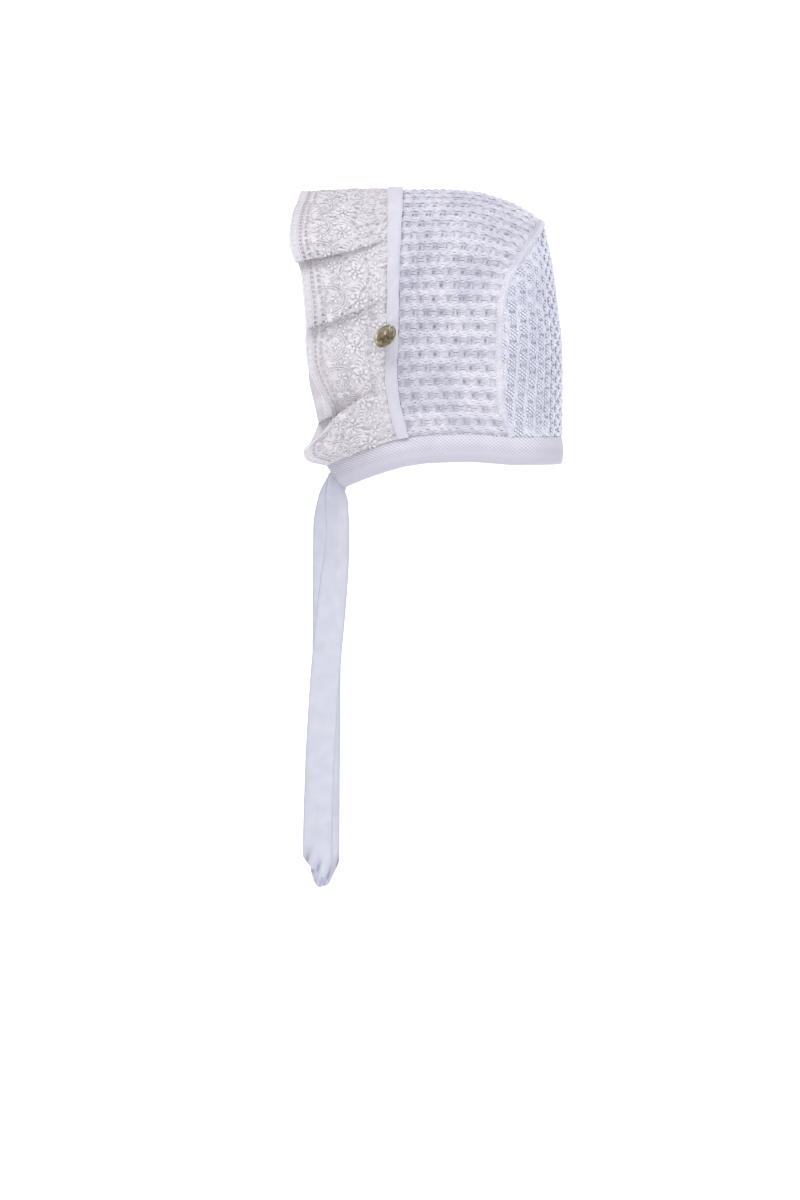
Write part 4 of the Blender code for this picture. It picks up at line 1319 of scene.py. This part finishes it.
def button(finish):
    """A brass disc with a raised rim, a beaded ring and a faint rosette, bored near its edge."""
    centre, along, across, face = button_frame()
    turns = np.linspace(0, 2 * math.pi, 144, endpoint=False)[:, None]
    radius = BUTTON_DIAMETER / 2
    hole_at = radius - BUTTON_HOLE_INSET
    half = BUTTON_WALL / 2

    def spot(share):
        rim = np.stack([np.cos(turns) * radius, np.sin(turns) * radius], axis=-1)
        bore = np.stack([np.cos(turns) * BUTTON_HOLE / 2 + hole_at, np.sin(turns) * BUTTON_HOLE / 2], axis=-1)
        return bore + (rim - bore) * share[None, :, None]

    def top(x, y):
        far = np.hypot(x, y)
        turn = np.arctan2(y, x)
        rim = half * np.exp(-(((far - 0.0069) / 0.00055) ** 2)) * 0.75
        bead = 0.00016 * np.exp(-(((far - 0.0056) / 0.00035) ** 2)) * (0.5 + 0.5 * np.cos(turn * 40))
        leafy = 0.00014 * np.exp(-((far / 0.0034) ** 4)) * np.cos(turn * 6) * np.clip(far / 0.0012, 0, 1)
        edge = 0.0003 * np.clip((far - 0.0073) / 0.0005, 0, 1) ** 2
        lip = np.hypot(x - hole_at, y) - BUTTON_HOLE / 2
        collar = 0.00016 * np.exp(-((lip / 0.0004) ** 2))
        return half * 0.62 + rim + bead + leafy + collar - edge

    shares = np.linspace(0, 1, 36)
    flat = spot(shares)
    high = top(flat[..., 0], flat[..., 1])
    low_shares = np.linspace(1, 0, 8)
    under = spot(low_shares)
    low = np.full(under.shape[:2], -half) + 0.00025 * np.exp(-(1 - low_shares) / 0.04)
    uv = np.concatenate([flat, under], axis=1)
    height = np.concatenate([high, low], axis=1)
    points = centre + along * uv[..., :1] + across * uv[..., 1:] + face * height[..., None]
    rings = points.shape[1]
    index = np.pad(np.arange(len(points) * rings).reshape(len(points), rings), ((0, 1), (0, 1)), "wrap")
    faces = np.stack([index[:-1, :-1], index[:-1, 1:], index[1:, 1:], index[1:, :-1]], axis=-1)
    shape = Shape()
    shape.add(points, faces, np.zeros(3))
    return shape.made("button_disc", finish, "aged_brass", 40)


def rounded_route(points, steps=4):
    """Points on a smooth curve through a route's own points."""
    rows = table_of("at x y z", [(i, *p) for i, p in enumerate(points)])
    fine = np.linspace(0, len(points) - 1, (len(points) - 1) * steps + 1)
    return np.stack([read(rows, name, fine) for name in ("x", "y", "z")], axis=-1)


def button_thread(finish):
    """Three plies of thread from the tape, out through the button's hole and back over its rim."""
    centre, along, across, face = button_frame()
    hole = centre + along * (BUTTON_DIAMETER / 2 - BUTTON_HOLE_INSET)
    rim = centre + along * (BUTTON_DIAMETER / 2)
    clear = BUTTON_WALL / 2 + THREAD / 2 + GAP
    start, _, _ = face_frame(np.array(BUTTON_PLACE))
    skin = start[1] * -1 - (GAP + TAPE_WALL) - GAP
    ends = [hole - face * clear * 1.6, rim + along * (THREAD / 2 + 2 * GAP) * 1.2]
    feet = [np.array([p[0] + 0.0012, skin, p[2] - 0.0002]) for p in ends]
    route = [feet[0], ends[0], hole, hole + face * clear * 1.25, rim + face * clear * 0.9, ends[1], feet[1]]
    line = rounded_route(np.array(route), 14)
    far = lengths_along(line)
    up = np.broadcast_to(across, line.shape)
    sideways = unit(np.cross(unit(np.gradient(line, axis=0)), up))
    shape = Shape()
    for start_turn in (0.0, 2.1, 4.2):
        turn = (far / 0.0021 * 2 * math.pi + start_turn)[:, None]
        ply = line + (up * np.cos(turn) + sideways * np.sin(turn)) * THREAD * 0.26
        add_tubes(shape, ply[None], up[None], THREAD * 0.27, THREAD * 0.27, 8)
    return shape.made("thread_loop", finish, "cotton_tape")


# Everything together

crown_yarn = yarn("crown_yarn", KNIT_LIGHT, KNIT_DARK)
ground_yarn = yarn("ground_yarn", KNIT_LIGHT, KNIT_DARK, painted_shade=KNIT_SHADE, stitch=0.0024)
back_base = yarn("back_base", BACK_LIGHT, BACK_DARK, painted_shade=BACK_SHADE, stitch=0.0024)
back_yarn = yarn("back_yarn", BACK_LIGHT, BACK_DARK, painted_shade=BACK_SHADE)
# Painted shade: the band is darker towards its lower edge and all over its inner side.
low_shade = (0.005, 0.013, BAND_LOW_SHADE)
band_yarn = cotton("band_yarn", BAND_LIGHT, BAND_DARK, 0.0011, 0.00012, 0.6, BAND_PIT_SHADE, low_shade)
tape_cotton = cotton("tape_cotton", TAPE_LIGHT, TAPE_DARK)
tie_cotton = cotton("tie_cotton", TIE_LIGHT, TIE_DARK, slant=0.5, painted_shade=TIE_SHADE)
lace_cotton = lacework("lace_cotton", NET_LIGHT, NET_DARK)
cord_cotton = yarn("cord_cotton", LACE_LIGHT, LACE_DARK, outline_shade=LACE_OUTLINE_SHADE)
brass_metal = brass("brass_metal")

crown_sheet, crown_strands = crown_ground(ground_yarn), crown_knit(crown_yarn)
back_sheet, back_strands = panel_ground(back_base), panel_knit(back_yarn)
seam_strands = seam(crown_yarn)
band_sheet = neck_band(band_yarn)
tape_sheet = face_tape(tape_cotton)
cords, fillings = lace_cords(cord_cotton), lace_fillings(cord_cotton)
net = lace_ground(lace_cotton)
near_tie = hanging_tie("tie_left_cloth", NEAR_TIE, TIE_LENGTH, -1, tie_cotton)
far_tie = hanging_tie("tie_right_cloth", FAR_TIE, FAR_TIE_LENGTH, 1, tie_cotton)
disc, loop = button(brass_metal), button_thread(tape_cotton)

for piece, node in (
    (crown_sheet, "crown_panel"),
    (back_sheet, "back_panel"),
    (band_sheet, "neck_band"),
    (tape_sheet, "face_tape"),
    (net, "lace_ruffle"),
    (near_tie, "tie_left"),
    (far_tie, "tie_right"),
    (disc, "button"),
    (loop, "button_thread"),
):
    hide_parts(node)
for piece in (
    *(crown_sheet, crown_strands, back_sheet, back_strands, seam_strands, band_sheet, tape_sheet),
    *(net, cords, fillings, near_tie, far_tie, disc, loop),
):
    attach(piece, "root")

LACE_LENGTH = lace_row(0.002)[0]


# Studio: a seamless white sweep, soft light from all round with a broad key

PIXEL = 0.00064  # of the photograph, at the bonnet
VIEW_DISTANCE, VIEW_HEIGHT = 2.2, math.radians(3)
KEY_STRENGTH, KEY_SOFTNESS, WORLD_STRENGTH = 2.15, 0.8, 0.43


def sweep():
    """A white floor 1 m below the head that curves up into a wall far behind."""
    n = Nodes("white_sweep")
    white = (1.0, 1.0, 1.0, 1.0)
    n.finish(Base_Color=(0.94, 0.94, 0.94, 1.0), Roughness=0.9, Emission_Color=white, Emission_Strength=0.2)
    curve = np.linspace(0, math.pi / 2, 16)
    profile = [(5.0 + math.sin(a) * 1.5, -1.0 + (1 - math.cos(a)) * 1.5) for a in curve]
    profile = [(-6.0, -1.0), *profile, (6.5, 6.0)]
    grid = np.array([[(x, y, z) for x in (-9.0, 9.0)] for y, z in profile])
    shape = Shape()
    shape.add(grid, grid_faces(*grid.shape[:2])[..., ::-1], np.zeros(3))
    made = shape.made("sweep", n.material, "cotton_tape")
    del made["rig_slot"]


def light(name, place, target, softness, strength, tint):
    """A distant soft light from a place towards a target; softness is the angle that it spans, in radians."""
    lamp = bpy.data.lights.new(name, "SUN")
    lamp.angle, lamp.energy, lamp.color = softness, strength, tint
    made = bpy.data.objects.new(name, lamp)
    made.location = place
    made.rotation_euler = (Vector(target) - Vector(place)).to_track_quat("-Z", "Y").to_euler()
    bpy.context.scene.collection.objects.link(made)


sweep()
light("key", (-0.7, -1.3, 2.4), (0.0, 0.0, -0.1), KEY_SOFTNESS, KEY_STRENGTH, (1.0, 0.99, 0.97))
light("fill", (1.6, -1.5, 0.2), (0.0, 0.0, -0.1), 0.9, 0.9, (0.94, 0.96, 1.0))
world = bpy.data.worlds.new("studio")
world.use_nodes = True
tree = world.node_tree
lit = tree.nodes["Background"]
lit.inputs["Color"].default_value = (0.97, 0.97, 1.0, 1.0)
lit.inputs["Strength"].default_value = WORLD_STRENGTH
seen = tree.nodes.new("ShaderNodeBackground")
seen.inputs["Color"].default_value = (1.0, 1.0, 1.0, 1.0)
both = tree.nodes.new("ShaderNodeMixShader")
tree.links.new(tree.nodes.new("ShaderNodeLightPath").outputs["Is Camera Ray"], both.inputs[0])
tree.links.new(lit.outputs[0], both.inputs[1])
tree.links.new(seen.outputs[0], both.inputs[2])
tree.links.new(both.outputs[0], tree.nodes["World Output"].inputs["Surface"])
bpy.context.scene.world = world

# The middle of the photograph, in pixels behind the face edge and below the crown's top
MIDDLE_BEHIND, MIDDLE_BELOW, PHOTO_WIDTH = 9, 409, 800
target = Vector((-HEAD_SEAT_BACK + MIDDLE_BEHIND * PIXEL, 0.0, KNIT_WALL - MIDDLE_BELOW * PIXEL))
ahead = Vector((0.0, math.cos(VIEW_HEIGHT), -math.sin(VIEW_HEIGHT)))
camera = bpy.data.cameras.new("camera")
camera.sensor_fit, camera.sensor_width = "HORIZONTAL", 36.0
camera.lens = 36.0 * VIEW_DISTANCE / (PHOTO_WIDTH * PIXEL)
view = bpy.data.objects.new("camera", camera)
view.location = target - ahead * VIEW_DISTANCE
view.rotation_euler = ahead.to_track_quat("-Z", "Y").to_euler()
bpy.context.scene.collection.objects.link(view)
bpy.context.scene.camera = view
bpy.context.scene.view_settings.view_transform = "Standard"
